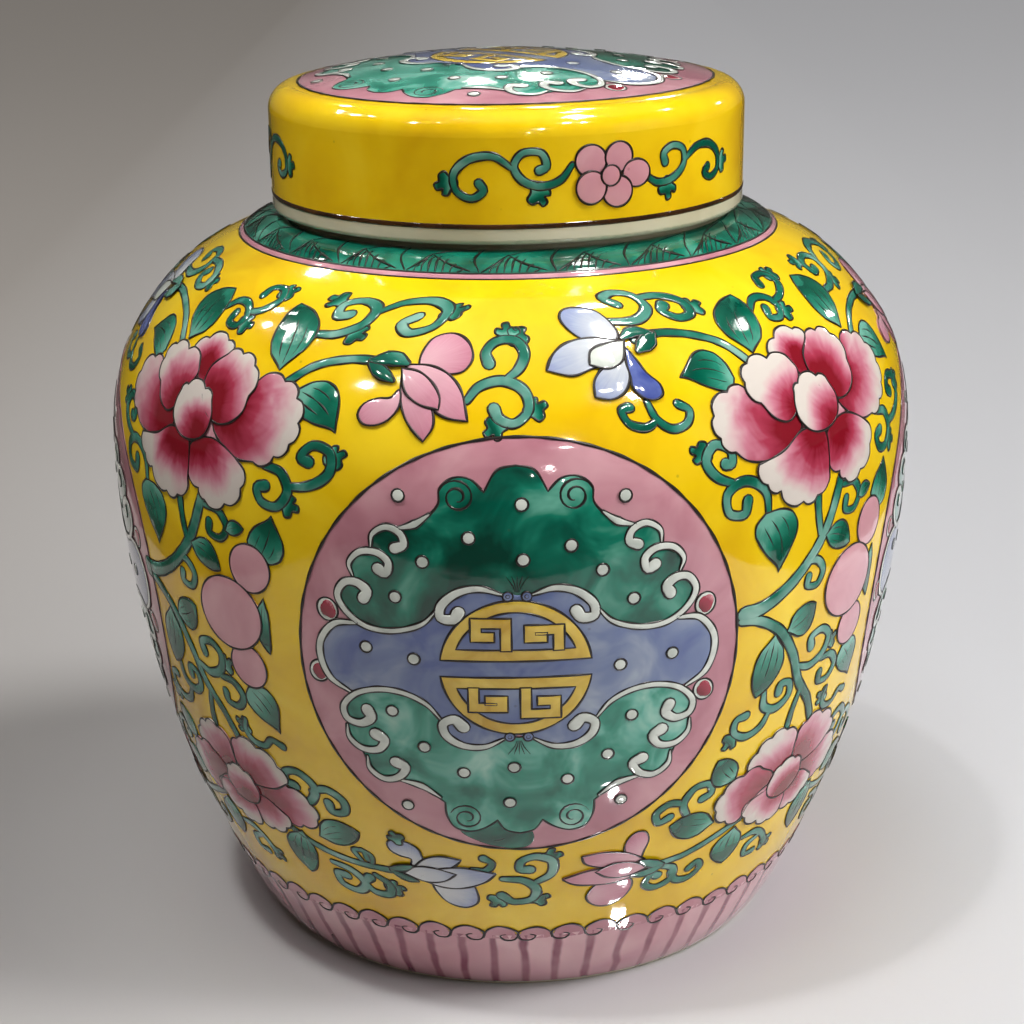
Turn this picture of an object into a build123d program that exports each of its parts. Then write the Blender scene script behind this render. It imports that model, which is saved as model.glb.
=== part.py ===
"""A ginger jar: a wide-shouldered porcelain jar with a short neck, and a cap lid that drops over the neck.

Millimetres, +Z up. The origin is the centre of the foot ring's bottom face, so the jar stands on z = 0
and turns about Z. Both pieces are thrown on a wheel, so each is one closed section turned about Z.
"""

from build123d import *
from math import sqrt
import os

# ---- driving dimensions ------------------------------------------------------------------------------
WALL = 4.6  # body wall
FLOOR = 6.0  # floor of the body, above the foot recess
FLOOR_BEND = 8.0  # width of the curve that leads the wall into the floor, inside

FOOT_RADIUS = 70.0  # outside of the foot ring
FOOT_WIDTH = 6.0  # width of the ring that touches the table
FOOT_RECESS = 5.0  # height of the turned hollow under the floor
FOOT_EDGE = 0.8  # softened edge on each side of the ring
RECESS_DRAFT = 1.5  # how much narrower the recess is at its top

BELLY_RADIUS = 103.6  # widest part of the body
BELLY_HEIGHT = 125.0

COLLAR_RADIUS = 68.4  # where the shoulder meets the sloping collar round the neck
COLLAR_HEIGHT = 182.6
COLLAR_MIDDLE_RADIUS = 64.6  # the collar bulges through here
COLLAR_MIDDLE_HEIGHT = 185.3
COLLAR_TOP_RADIUS = 60.0
COLLAR_TOP_HEIGHT = 186.6
LEDGE_RISE = 0.3  # climb of the ledge from the collar to the neck

NECK_RADIUS = 54.2  # outside of the straight neck
NECK_WALL = 4.6
NECK_TOP = 213.0
NECK_FILLET = 2.2  # hollow where the neck grows out of the ledge
RIM_ROUND = 1.4  # softened corners of the neck's rim

LID_RADIUS = 60.0
LID_WALL = 4.0
LID_BOTTOM = 188.4
LID_LIP_ROUND = 1.2  # softened corners of the skirt's lower edge
LID_EDGE_ROUND = 6.0  # roll from the side of the lid on to its top
LID_EDGE_TOP = 219.0
LID_CROWN = 225.0  # middle of the domed top
LID_CORNER = 2.5  # hollow where the side meets the top, inside
LID_ROOF = 5.0  # thickness at the middle of the top
SEAT_GAP = 0.2  # the lid's seat above the rim, the height of the grit that a dry rim stands on
SEAT_MARGIN = 1.5  # how far the flat seat reaches inside the neck

# Points that the body's side passes through, from the foot to the shoulder.
BODY_SIDE = [
    (FOOT_RADIUS, FOOT_EDGE),
    (77.4, 14.0),
    (88.7, 42.0),
    (99.4, 84.0),
    (BELLY_RADIUS, BELLY_HEIGHT),
    (99.8, 152.5),
    (85.7, 172.4),
    (COLLAR_RADIUS, COLLAR_HEIGHT),
]
INNER_SAMPLES = 9  # points that carry the body's side over to the inside
INNER_START, INNER_END = 0.07, 0.985  # the stretch of the side that the inside follows

# Directions in the plane of a turned section: X is away from the axis, Z is up.
OUTWARDS = Vector(1, 0, 0)
DOWNWARDS = Vector(0, 0, -1)
SIDE_AT_FOOT = Vector(0.62, 0, 0.78)
SIDE_AT_SHOULDER = Vector(-0.93, 0, 0.37)
WALL_AT_FLOOR = Vector(-0.5, 0, -0.86)


def at(radius, height):
    """A point of a turned section: radius from the axis, height above the table."""
    return Vector(radius, 0, height)


def quarter(start, corner, end):
    """A quarter circle that takes the place of a sharp corner."""
    centre = start + end - corner
    return ThreePointArc(start, centre + (corner - centre) * sqrt(0.5), end)


def inward(curve, share, thickness):
    """The point of the inside that lies one wall thickness in from the outside."""
    along = (curve % share).normalized()
    return curve @ share + Vector(-along.Z, 0, along.X) * thickness


def turned(edges):
    """The solid that a closed section sweeps in one turn about the jar's axis."""
    return revolve(make_face(edges), Axis.Z, 360)


def jar_body():
    """Body, collar, neck and foot ring, which are thrown and turned as one piece."""
    side = Spline([at(r, z) for r, z in BODY_SIDE], tangents=[SIDE_AT_FOOT, SIDE_AT_SHOULDER])
    shares = [INNER_END + (INNER_START - INNER_END) * i / (INNER_SAMPLES - 1) for i in range(INNER_SAMPLES)]
    inside = [inward(side, share, WALL) for share in shares]

    ledge_top = COLLAR_TOP_HEIGHT + LEDGE_RISE
    collar_top = at(COLLAR_TOP_RADIUS, COLLAR_TOP_HEIGHT)
    ledge_end = at(NECK_RADIUS + NECK_FILLET, ledge_top)
    neck_foot = at(NECK_RADIUS, ledge_top + NECK_FILLET)
    shoulder = [
        ThreePointArc(side @ 1, at(COLLAR_MIDDLE_RADIUS, COLLAR_MIDDLE_HEIGHT), collar_top),
        Line(collar_top, ledge_end),
        quarter(ledge_end, at(NECK_RADIUS, ledge_top), neck_foot),
    ]

    neck_inner = NECK_RADIUS - NECK_WALL
    outer_top = at(NECK_RADIUS, NECK_TOP - RIM_ROUND)
    rim_outer = at(NECK_RADIUS - RIM_ROUND, NECK_TOP)
    rim_inner = at(neck_inner + RIM_ROUND, NECK_TOP)
    inner_top = at(neck_inner, NECK_TOP - RIM_ROUND)
    neck = [
        Line(neck_foot, outer_top),
        quarter(outer_top, at(NECK_RADIUS, NECK_TOP), rim_outer),
        Line(rim_outer, rim_inner),
        quarter(rim_inner, at(neck_inner, NECK_TOP), inner_top),
    ]

    throat = at(neck_inner, COLLAR_TOP_HEIGHT)
    floor_height = FOOT_RECESS + FLOOR
    floor_edge = at(inside[-1].X - FLOOR_BEND, floor_height)
    hollow = [
        Line(inner_top, throat),
        Spline([throat, *inside], tangents=[DOWNWARDS, WALL_AT_FLOOR]),
        Spline([inside[-1], floor_edge], tangents=[WALL_AT_FLOOR, -OUTWARDS]),
        Line(floor_edge, at(0, floor_height)),
    ]

    ring_inner = FOOT_RADIUS - FOOT_WIDTH
    recess_edge = at(ring_inner - RECESS_DRAFT, FOOT_RECESS)
    ring = Polyline(
        at(0, floor_height),
        at(0, FOOT_RECESS),
        recess_edge,
        at(ring_inner, FOOT_EDGE),
        at(ring_inner + FOOT_EDGE, 0),
        at(FOOT_RADIUS - FOOT_EDGE, 0),
        at(FOOT_RADIUS, FOOT_EDGE),
    )
    return turned([side, *shoulder, *neck, *hollow, *ring.edges()])


def lid():
    """Cap lid: a domed top and a straight skirt that hangs round the neck."""
    lip = LID_LIP_ROUND
    inner = LID_RADIUS - LID_WALL
    seat = NECK_TOP + SEAT_GAP
    seat_inner = NECK_RADIUS - NECK_WALL - SEAT_MARGIN
    roof = LID_CROWN - LID_ROOF

    lip_outer = at(LID_RADIUS - lip, LID_BOTTOM)
    side_bottom = at(LID_RADIUS, LID_BOTTOM + lip)
    side_top = at(LID_RADIUS, LID_EDGE_TOP - LID_EDGE_ROUND)
    dome_edge = at(LID_RADIUS - LID_EDGE_ROUND, LID_EDGE_TOP)
    outside = [
        quarter(lip_outer, at(LID_RADIUS, LID_BOTTOM), side_bottom),
        Line(side_bottom, side_top),
        quarter(side_top, at(LID_RADIUS, LID_EDGE_TOP), dome_edge),
        TangentArc(at(0, LID_CROWN), dome_edge, tangent=OUTWARDS),
    ]

    seat_outer = at(inner - LID_CORNER, seat)
    bore_top = at(inner, seat - LID_CORNER)
    bore_bottom = at(inner, LID_BOTTOM + lip)
    lip_inner = at(inner + lip, LID_BOTTOM)
    inside = [
        Line(at(0, LID_CROWN), at(0, roof)),
        TangentArc(at(0, roof), at(seat_inner, seat), tangent=OUTWARDS),
        Line(at(seat_inner, seat), seat_outer),
        quarter(seat_outer, at(inner, seat), bore_top),
        Line(bore_top, bore_bottom),
        quarter(bore_bottom, at(inner, LID_BOTTOM), lip_inner),
        Line(lip_inner, lip_outer),
    ]
    return turned([*outside, *inside])


os.makedirs("parts", exist_ok=True)
for name, solid in {"jar_body": jar_body(), "lid": lid()}.items():
    solid.label = name
    export_step(solid, f"parts/{name}.step")
    print(name, "volume", round(solid.volume / 1000, 1), "cm3, box", solid.bounding_box())
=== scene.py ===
# %% [markdown]
# # A ginger jar with fired enamel painting
# The real jar is two pieces of porcelain thrown on a wheel: a body and a cap lid. They are glazed
# yellow, and then painted with thick coloured enamels inside thin dark outlines, and fired again.
# The turned pieces come ready made, and this lesson adds what the painter did. Each enamel is a
# real layer, a tenth of a millimetre or two thick, so it is made here as geometry that lies on the glaze.

# %% Load the turned porcelain
import math
import random

import bmesh
import bpy
import numpy as np
from mathutils import Matrix, Vector
from mathutils.bvhtree import BVHTree


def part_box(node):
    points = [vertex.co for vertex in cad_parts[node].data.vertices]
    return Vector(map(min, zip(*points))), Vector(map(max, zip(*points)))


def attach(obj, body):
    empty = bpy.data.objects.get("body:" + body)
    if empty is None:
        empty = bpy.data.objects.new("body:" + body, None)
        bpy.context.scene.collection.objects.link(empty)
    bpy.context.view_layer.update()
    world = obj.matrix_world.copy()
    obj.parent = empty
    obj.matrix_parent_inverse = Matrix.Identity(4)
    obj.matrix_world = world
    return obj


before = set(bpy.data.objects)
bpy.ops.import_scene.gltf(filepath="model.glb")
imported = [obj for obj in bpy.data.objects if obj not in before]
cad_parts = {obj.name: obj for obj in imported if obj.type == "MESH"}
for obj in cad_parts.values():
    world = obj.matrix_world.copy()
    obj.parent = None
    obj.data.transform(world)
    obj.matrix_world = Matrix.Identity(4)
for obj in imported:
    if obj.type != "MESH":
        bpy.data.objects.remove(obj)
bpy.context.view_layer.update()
MM = 0.001
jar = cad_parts["jar_body"]
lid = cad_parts["lid"]
scene = bpy.context.scene
print("turned pieces:", sorted(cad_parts))

# %% [markdown]
# ## Feeling the shape of the pots
# A painter follows the curve of the pot with the brush. To do the same, the script needs the pot's
# side as a line: how far up the side a point is, and how far from the axis it lies. The side could be
# copied from the drawing of the jar, but then the two could drift apart. Instead rays are shot at the
# loaded mesh from all elevations, and the hits give the line as it really is.

# %% Measure the side of a turned piece
class Side:
    """The outside of a turned piece as a line, in millimetres: from its foot up to its top."""

    RAYS = 720
    SPREAD = [math.radians(0.4 * i) for i in range(9)]  # a few bearings, because facets cut the corners

    def __init__(self, node, aim_height, lowest, highest):
        mesh = node.data
        tree = BVHTree.FromPolygons([v.co for v in mesh.vertices], [p.vertices for p in mesh.polygons])
        aim = Vector((0, 0, aim_height * MM))
        points = []
        for i in range(self.RAYS + 1):
            tilt = math.radians(lowest + (highest - lowest) * i / self.RAYS)
            level = math.cos(tilt)
            hits = []
            for bearing in self.SPREAD:
                away = Vector((level * math.cos(bearing), level * math.sin(bearing), math.sin(tilt)))
                hit = tree.ray_cast(aim + away, -away)[0]
                if hit is not None:
                    hits.append((hit - aim).length / MM)
            reach = max(hits)
            points.append((reach * math.cos(tilt), aim_height + reach * math.sin(tilt)))
        self.line = np.array(points)
        steps = np.hypot(*np.diff(self.line, axis=0).T)
        self.along = np.concatenate([[0], np.cumsum(steps)])
        self.length = self.along[-1]

    def at(self, along):
        """Radius, height and the outward direction in the plane of the section."""
        along = np.asarray(along, float)
        reach = 0.7  # millimetres to each side, over which the slope is read
        radius = np.interp(along, self.along, self.line[:, 0])
        height = np.interp(along, self.along, self.line[:, 1])
        before = [np.interp(along - reach, self.along, self.line[:, k]) for k in (0, 1)]
        after = [np.interp(along + reach, self.along, self.line[:, k]) for k in (0, 1)]
        run, rise = after[0] - before[0], after[1] - before[1]
        size = np.maximum(np.hypot(run, rise), 1e-9)
        return radius, height, rise / size, -run / size


FOOT_EDGE = 0.8  # height of the softened edge of the foot ring
BODY_AIM = 90.0  # the rays at the body meet on the axis at this height
FOOT_RADIUS = 70.0
COLLAR_END = 59.6  # degrees up from there to the inner edge of the collar
body_side = Side(jar, BODY_AIM, -math.degrees(math.atan2(BODY_AIM - FOOT_EDGE, FOOT_RADIUS)), COLLAR_END)
LID_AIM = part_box("lid")[0].z / MM + 1.5  # just above the lip of the lid
lid_side = Side(lid, LID_AIM, 0.0, 90.0)
print(f"up the body {body_side.length:.1f} mm, over the lid {lid_side.length:.1f} mm")

# %% [markdown]
# ## Wrapping a flat drawing on to the pot
# Each motif is drawn flat, in millimetres, with x along the pot and y up its side, and with z as the
# thickness of the enamel. One function bends such a drawing round the side about a chosen bearing, and
# one lays it on the domed top of the lid. Normals are bent with it, so enamel shines like the glaze
# below it. Small waves are added on each copy, because no two motifs painted by hand are the same.

# %% Bend flat coordinates on to a turned side or a domed top
def hand_drift(flat, copy):
    """Shifts a flat drawing by slow waves of about half a millimetre, different for each copy."""
    if copy == 0:
        return flat[:, 0], flat[:, 1]
    x, y = flat[:, 0], flat[:, 1]
    drift = 0.7
    return (
        x + drift * np.sin(y / 17 + 2.1 * copy) + 0.5 * drift * np.sin(x / 11 + copy),
        y + drift * np.sin(x / 19 + 1.3 * copy) + 0.5 * drift * np.cos(y / 13 - copy),
    )


def around(side, bearing, copy=0):
    """A wrap on to the side of a pot, with x = 0 at that bearing in degrees. 0 is the front."""

    def wrap(flat, normals):
        x, y = hand_drift(flat, copy)
        radius, height, out, up = side.at(y)
        turn = math.radians(bearing) + x / radius
        sin, cos = np.sin(turn), np.cos(turn)
        reach = radius + flat[:, 2] * out
        places = np.stack([reach * sin, -reach * cos, height + flat[:, 2] * up], 1)
        level = normals[:, 2] * out - normals[:, 1] * up
        rise = normals[:, 2] * up + normals[:, 1] * out
        turned = np.stack([normals[:, 0] * cos + level * sin, normals[:, 0] * sin - level * cos, rise], 1)
        return places * MM, turned

    return wrap


def over(side, copy=0):
    """A wrap on to the domed top of a pot, with the drawing's middle at the crown."""

    def wrap(flat, normals):
        x, y = hand_drift(flat, copy)
        distance = np.maximum(np.hypot(x, y), 1e-6)
        radius, height, out, up = side.at(side.length - distance)
        towards = np.stack([x / distance, y / distance], 1)
        reach = radius + flat[:, 2] * out
        places = np.column_stack([towards * reach[:, None], height + flat[:, 2] * up])
        level = normals[:, :2] + towards * (out * normals[:, 2])[:, None]
        return places * MM, np.column_stack([level, normals[:, 2] * up])

    return wrap


# %% [markdown]
# ## Lines and outlines
# A painted line is a few places joined by a smooth curve. The same few places serve for the ink line,
# for the enamel inside it, and for a leaf's vein. Sharp points, such as a leaf's tip, are where two
# smooth runs meet.

# %% Smooth lines through a few places
STEP = 0.85  # millimetres between the samples of a painted line


def smooth(places, closed=False, step=STEP):
    """A smooth line through the places. A third number, such as a width, is carried along."""
    p = np.array(places, float)
    p = np.vstack([p[-1:], p, p[:2]]) if closed else np.vstack([2 * p[0] - p[1], p, 2 * p[-1] - p[-2]])
    runs = []
    for a, b, c, d in zip(p, p[1:], p[2:], p[3:]):
        gaps = [max(np.hypot(*(q[:2] - r[:2])), 1e-6) ** 0.5 for q, r in ((b, a), (c, b), (d, c))]
        leave = (c - b) + gaps[1] * ((b - a) / gaps[0] - (c - a) / (gaps[0] + gaps[1]))
        arrive = (c - b) + gaps[1] * ((d - c) / gaps[2] - (d - b) / (gaps[1] + gaps[2]))
        count = max(1, round(gaps[1] ** 2 / step))
        t = (np.arange(count) / count)[:, None]
        runs.append(
            (2 * t**3 - 3 * t**2 + 1) * b
            + (t**3 - 2 * t**2 + t) * leave
            + (3 * t**2 - 2 * t**3) * c
            + (t**3 - t**2) * arrive
        )
    if not closed:
        runs.append(p[-2:-1])
    return np.vstack(runs)


def joined(*runs):
    """A closed outline of smooth runs that meet at sharp points. Each run starts where the last ends."""
    return np.vstack([smooth(run)[:-1] for run in runs])


def mirrored(places, middle):
    """The same places on the other side of an upright line, in the opposite order."""
    return [(2 * middle - p[0], *p[1:]) for p in reversed(places)]


def ring(centre, across, up=None, turn=0.0, lobes=0, depth=0.0, step=STEP):
    """A closed oval. With lobes it becomes a scalloped one, whose scallops stand out by depth."""
    up = across if up is None else up
    count = max(12, round(2 * math.pi * max(across, up) / step))
    t = np.arange(count) / count * 2 * math.pi
    size = 1 + depth * np.abs(np.sin(lobes * t / 2))
    c, s = math.cos(math.radians(turn)), math.sin(math.radians(turn))
    x, y = across * size * np.cos(t), up * size * np.sin(t)
    return np.column_stack([centre[0] + c * x - s * y, centre[1] + s * x + c * y])


def coil(centre, radius, turns, start=0.0, way=1, inner=0.25):
    """An ink spiral that winds in to the middle."""
    t = np.linspace(0, 1, max(8, round(turns * 2 * math.pi * radius * 0.6 / STEP)))
    angle = math.radians(start) + way * t * turns * 2 * math.pi
    reach = radius * (1 - (1 - inner) * t)
    return np.column_stack([centre[0] + reach * np.cos(angle), centre[1] + reach * np.sin(angle)])


# %% [markdown]
# ## A flat drawing
# A drawing holds two kinds of marks. A patch is a pool of enamel inside an outline. A stroke is one
# pull of the brush, thick in the middle and round or pointed at its ends. Layers say what lies on
# what: a petal over a leaf, a dot over a cloud. Each mark also carries brush coordinates, which tell
# the material how far along and across the mark a point is, so that a petal can pale towards its edge.

# %% Patches, strokes and the ink round them
INK = 0.28  # half the width of an outline
hand = random.Random(11)


class Drawing:
    """Marks of one motif, flat, in millimetres."""

    def __init__(self):
        self.patches = []
        self.strokes = []

    def patch(self, enamel, layer, outline, along=None, ink=INK, width=None):
        """A pool of enamel. along is where its brushing starts and ends, and width how wide it fans."""
        outline = np.asarray(outline, float)
        start, end = along or (outline.min(0), outline.max(0))
        start, end = np.array(start, float), np.array(end, float)
        reach = end - start
        length = max(np.hypot(*reach), 1e-6)
        reach = reach / length
        offset = outline - start
        brush = np.column_stack(
            [offset @ reach / length, offset @ np.array([-reach[1], reach[0]]) / (width or length)]
        )
        self.patches.append((enamel, layer, outline, brush))
        if ink:
            self.line(outline, ink, layer, closed=True)

    def line(self, path, half_width, layer, closed=False, ends=0.45):
        """An ink line that swells and thins a little, as a hand presses the brush, with thinner ends."""
        path = np.asarray(path, float)
        count = len(path)
        fade = np.minimum(np.arange(count), np.arange(count)[::-1]) / 4
        press = np.ones(count) if closed else ends + (1 - ends) * np.clip(fade, 0, 1)
        waves = max(1, round(count * STEP / 8))
        press *= 1 + 0.22 * np.sin(2 * math.pi * (waves * np.arange(count) / count + hand.random()))
        self.strokes.append(("ink", layer, path, half_width * press, closed))

    def ribbon(self, enamel, layer, places, widths, ink=INK):
        """A pull of a loaded brush along the places, with half widths spread evenly along it, and inked."""
        path = smooth(places, step=0.6)
        share = np.linspace(0, 1, len(path))
        radii = np.interp(share, np.linspace(0, 1, len(widths)), widths)
        along = np.gradient(path, axis=0)
        along /= np.maximum(np.hypot(*along.T), 1e-9)[:, None]
        across = np.column_stack([-along[:, 1], along[:, 0]])
        turn = np.radians([25, 50, 75])[:, None]
        head = path[0] - radii[0] * along[0] * np.sin(turn[::-1])
        tail = path[-1] + radii[-1] * along[-1] * np.sin(turn)
        full = np.vstack([head, path, tail])
        full_radii = np.hstack([radii[0] * np.cos(turn[::-1, 0]), radii, radii[-1] * np.cos(turn[:, 0])])
        self.strokes.append((enamel, layer, full, full_radii, False))
        if ink:
            bow = np.linspace(0, math.pi, 6)[1:-1, None]
            end = path[-1] + radii[-1] * (across[-1] * np.cos(bow) + along[-1] * np.sin(bow))
            start = path[0] - radii[0] * (across[0] * np.cos(bow) + along[0] * np.sin(bow))
            sides = across * radii[:, None]
            self.line(np.vstack([path + sides, end, (path - sides)[::-1], start]), ink, layer, closed=True)

    def add(self, other, at=(0, 0), turn=0.0):
        """Copies the marks of another drawing to a place on this one."""
        c, s = math.cos(math.radians(turn)), math.sin(math.radians(turn))
        spin = np.array([[c, s], [-s, c]])
        for enamel, layer, outline, brush in other.patches:
            self.patches.append((enamel, layer, outline @ spin + at, brush))
        for enamel, layer, path, radii, closed in other.strokes:
            self.strokes.append((enamel, layer, path @ spin + at, radii, closed))
        return self


# %% [markdown]
# ## From marks to enamel
# A patch starts as one flat face. It is extruded down into the glaze and inset at the top, which gives
# the swollen edge that enamel has where it was stopped by its outline. Planes then cut it into small
# cells, because a large flat face can't bend round a pot. A stroke is a curve with a round bevel,
# pressed flat. Both are joined into one mesh for each enamel, and that mesh is wrapped on to the pot.

# %% Raise patches and press strokes
BASE_RISE = 0.12  # top of the lowest enamel above the glaze
LAYER_RISE = 0.07  # each further layer
BURIED = -0.2  # how far the enamel reaches into the glaze
EDGE = 0.32  # width of the swollen edge
CELL = 3.2  # size of the cells that bend
tones = random.Random(7)


def rise(layer):
    return BASE_RISE + LAYER_RISE * layer


def raised_patch(outline, brush, layer):
    """One pool of enamel as a closed flat mesh."""
    bm = bmesh.new()
    layer_brush = bm.verts.layers.float_vector.new("brush")
    tone = tones.random()
    for place, mark in zip(outline, brush):
        vert = bm.verts.new((*place, BURIED))
        vert[layer_brush] = (*mark, tone)
    floor = bm.faces.new(bm.verts)
    floor.normal_update()
    if floor.normal.z > 0:
        floor.normal_flip()
    made = bmesh.ops.extrude_face_region(bm, geom=[floor], use_keep_orig=True)["geom"]
    shoulder = rise(layer) - LAYER_RISE * 0.8
    raised = [g for g in made if isinstance(g, bmesh.types.BMVert)]
    bmesh.ops.translate(bm, verts=raised, vec=(0, 0, shoulder - BURIED))
    top = [g for g in made if isinstance(g, bmesh.types.BMFace)]
    for face in top:
        face.normal_update()
        if face.normal.z < 0:
            face.normal_flip()
    size = np.ptp(outline, axis=0).min()
    edge = min(EDGE, size * 0.12)
    bmesh.ops.inset_region(bm, faces=top, thickness=edge, depth=0, use_even_offset=True, use_boundary=True)
    bmesh.ops.translate(bm, verts=top[0].verts, vec=(0, 0, rise(layer) - shoulder))
    low, high = outline.min(0), outline.max(0)
    for axis in (0, 1):
        normal = (1 - axis, axis, 0)
        for k in range(math.floor(low[axis] / CELL) + 1, math.ceil(high[axis] / CELL)):
            everything = bm.verts[:] + bm.edges[:] + bm.faces[:]
            cut = (k * CELL * normal[0], k * CELL * normal[1], 0)
            bmesh.ops.bisect_plane(bm, geom=everything, dist=1e-5, plane_co=cut, plane_no=normal)
    bmesh.ops.recalc_face_normals(bm, faces=bm.faces)
    bmesh.ops.triangulate(bm, faces=bm.faces)
    mesh = bpy.data.meshes.new("patch")
    bm.to_mesh(mesh)
    bm.free()
    return mesh


def pressed_strokes(strokes, layer, sides, thickness):
    """Strokes of one layer as one flat mesh: round tubes pressed to a share of their height."""
    curve = bpy.data.curves.new("strokes", "CURVE")
    curve.dimensions = "3D"
    curve.twist_mode = "Z_UP"
    curve.bevel_depth = 1
    curve.bevel_resolution = sides
    curve.use_fill_caps = True
    for path, radii, closed in strokes:
        spline = curve.splines.new("POLY")
        spline.points.add(len(path) - 1)
        places = np.column_stack([path, np.zeros(len(path)), np.ones(len(path))])
        spline.points.foreach_set("co", places.ravel())
        spline.points.foreach_set("radius", radii)
        spline.use_cyclic_u = closed
    holder = bpy.data.objects.new("strokes", curve)
    mesh = bpy.data.meshes.new_from_object(holder)
    bpy.data.objects.remove(holder)
    bpy.data.curves.remove(curve)
    mesh.transform(Matrix.Translation((0, 0, rise(layer) - 0.02)) @ Matrix.Diagonal((1, 1, thickness, 1)))
    brush = mesh.attributes.new("brush", "FLOAT_VECTOR", "POINT")
    tone = (0.5, 0.0, tones.random())
    brush.data.foreach_set("vector", np.tile(tone, len(mesh.vertices)).astype(np.float32))
    return mesh


def flat_meshes(drawing):
    """One flat mesh for each enamel in the drawing."""
    meshes = {}
    enamels = sorted({m[0] for m in drawing.patches + drawing.strokes})
    for enamel in enamels:
        bm = bmesh.new()
        parts = [raised_patch(o, b, layer) for e, layer, o, b in drawing.patches if e == enamel]
        for layer in sorted({s[1] for s in drawing.strokes if s[0] == enamel}):
            group = [(p, r, c) for e, at, p, r, c in drawing.strokes if e == enamel and at == layer]
            ink = enamel == "ink"
            parts.append(pressed_strokes(group, layer, 0 if ink else 2, 0.22 if ink else 0.1))
        for part in parts:
            bm.from_mesh(part)
            bpy.data.meshes.remove(part)
        bm.normal_update()
        normals = np.array([v.normal[:] for v in bm.verts])
        mesh = bpy.data.meshes.new(enamel)
        bm.to_mesh(mesh)
        bm.free()
        meshes[enamel] = (mesh, normals)
    return meshes


# %% Fire a drawing on to a pot
ENAMELS = {}  # filled below: enamel name to its material and its slot
made_pieces = []


def fire(meshes, place, wrap, body):
    """Wraps each enamel of a drawing on to the pot as one finished piece."""
    for enamel, (flat, flat_normals) in meshes.items():
        mesh = flat.copy()
        places = np.empty(len(mesh.vertices) * 3, np.float32)
        mesh.vertices.foreach_get("co", places)
        bent, normals = wrap(places.reshape(-1, 3).astype(float), flat_normals)
        mesh.vertices.foreach_set("co", bent.ravel().astype(np.float32))
        mesh.polygons.foreach_set("use_smooth", [True] * len(mesh.polygons))
        mesh.update()
        mesh.normals_split_custom_set_from_vertices(normals.tolist())
        finish_piece(f"{place}_{enamel}", mesh, enamel, body)


def finish_piece(name, mesh, enamel, body):
    """Names a mesh, gives it its enamel and puts it on its body."""
    material, slot = ENAMELS[enamel]
    mesh.name = name
    mesh.materials.clear()
    mesh.materials.append(material)
    piece = bpy.data.objects.new(name, mesh)
    scene.collection.objects.link(piece)
    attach(piece, body)
    made_pieces.append(piece)


# %% [markdown]
# ## How fired glaze and enamel look
# Glaze and enamel are coloured glass. Three things keep them from looking like plastic: the colour
# pools and thins in slow washes, the surface has a faint ripple that bends reflections, and here and
# there a speck of ash is caught in it. All the materials share these, so they are one node group.

# %% A node group for fired glass
def make_group(name, inputs, outputs):
    group = bpy.data.node_groups.new(name, "ShaderNodeTree")
    for label, kind, value in inputs:
        socket = group.interface.new_socket(label, in_out="INPUT", socket_type=kind)
        if value is not None:
            socket.default_value = value
    for label, kind in outputs:
        group.interface.new_socket(label, in_out="OUTPUT", socket_type=kind)
    return group, group.nodes.new("NodeGroupInput"), group.nodes.new("NodeGroupOutput")


def add_node(tree, kind, links=None, **settings):
    """A node with its settings. Links go to input sockets, by name or number."""
    node = tree.nodes.new(kind)
    for key, value in settings.items():
        setattr(node, key, value)
    for socket, value in (links or {}).items():
        if isinstance(value, bpy.types.NodeSocket):
            tree.links.new(value, node.inputs[socket])
        else:
            node.inputs[socket].default_value = value
    return node


def math_node(tree, operation, *values, clamp=False):
    node = add_node(tree, "ShaderNodeMath", dict(enumerate(values)), operation=operation, use_clamp=clamp)
    return node.outputs[0]


def fade(tree, value, low, high, at_low=0.0, at_high=1.0, smooth_steps=False):
    """Turns a value between two limits into another between two, and holds it there outside them."""
    limits = {"Value": value, "From Min": low, "From Max": high, "To Min": at_low, "To Max": at_high}
    node = add_node(tree, "ShaderNodeMapRange", limits)
    if smooth_steps:
        node.interpolation_type = "SMOOTHSTEP"
    return node.outputs["Result"]


FLOAT, VECTOR = "NodeSocketFloat", "NodeSocketVector"
fired, fired_in, fired_out = make_group(
    "Fired glass",
    [("Place", VECTOR, None), ("Wash Size", FLOAT, 70.0), ("Ripple Size", FLOAT, 120.0)],
    [("Wash", FLOAT), ("Ripple", FLOAT), ("Specks", FLOAT), ("Pitting", FLOAT)],
)
where = fired_in.outputs["Place"]
wash_size, ripple_size = fired_in.outputs["Wash Size"], fired_in.outputs["Ripple Size"]
wash = add_node(
    fired, "ShaderNodeTexNoise", {"Vector": where, "Scale": wash_size, "Detail": 3.0, "Distortion": 0.6}
)
ripple = add_node(fired, "ShaderNodeTexNoise", {"Vector": where, "Scale": ripple_size, "Detail": 2.0})
speck_cells = add_node(fired, "ShaderNodeTexVoronoi", {"Vector": where, "Scale": 95.0})
pit_cells = add_node(fired, "ShaderNodeTexNoise", {"Vector": where, "Scale": 900.0, "Detail": 1.0})
specks = fade(fired, speck_cells.outputs["Distance"], 0.02, 0.045, 1.0, 0.0)
fired.links.new(wash.outputs[0], fired_out.inputs["Wash"])
fired.links.new(ripple.outputs[0], fired_out.inputs["Ripple"])
fired.links.new(specks, fired_out.inputs["Specks"])
fired.links.new(pit_cells.outputs[0], fired_out.inputs["Pitting"])

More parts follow.
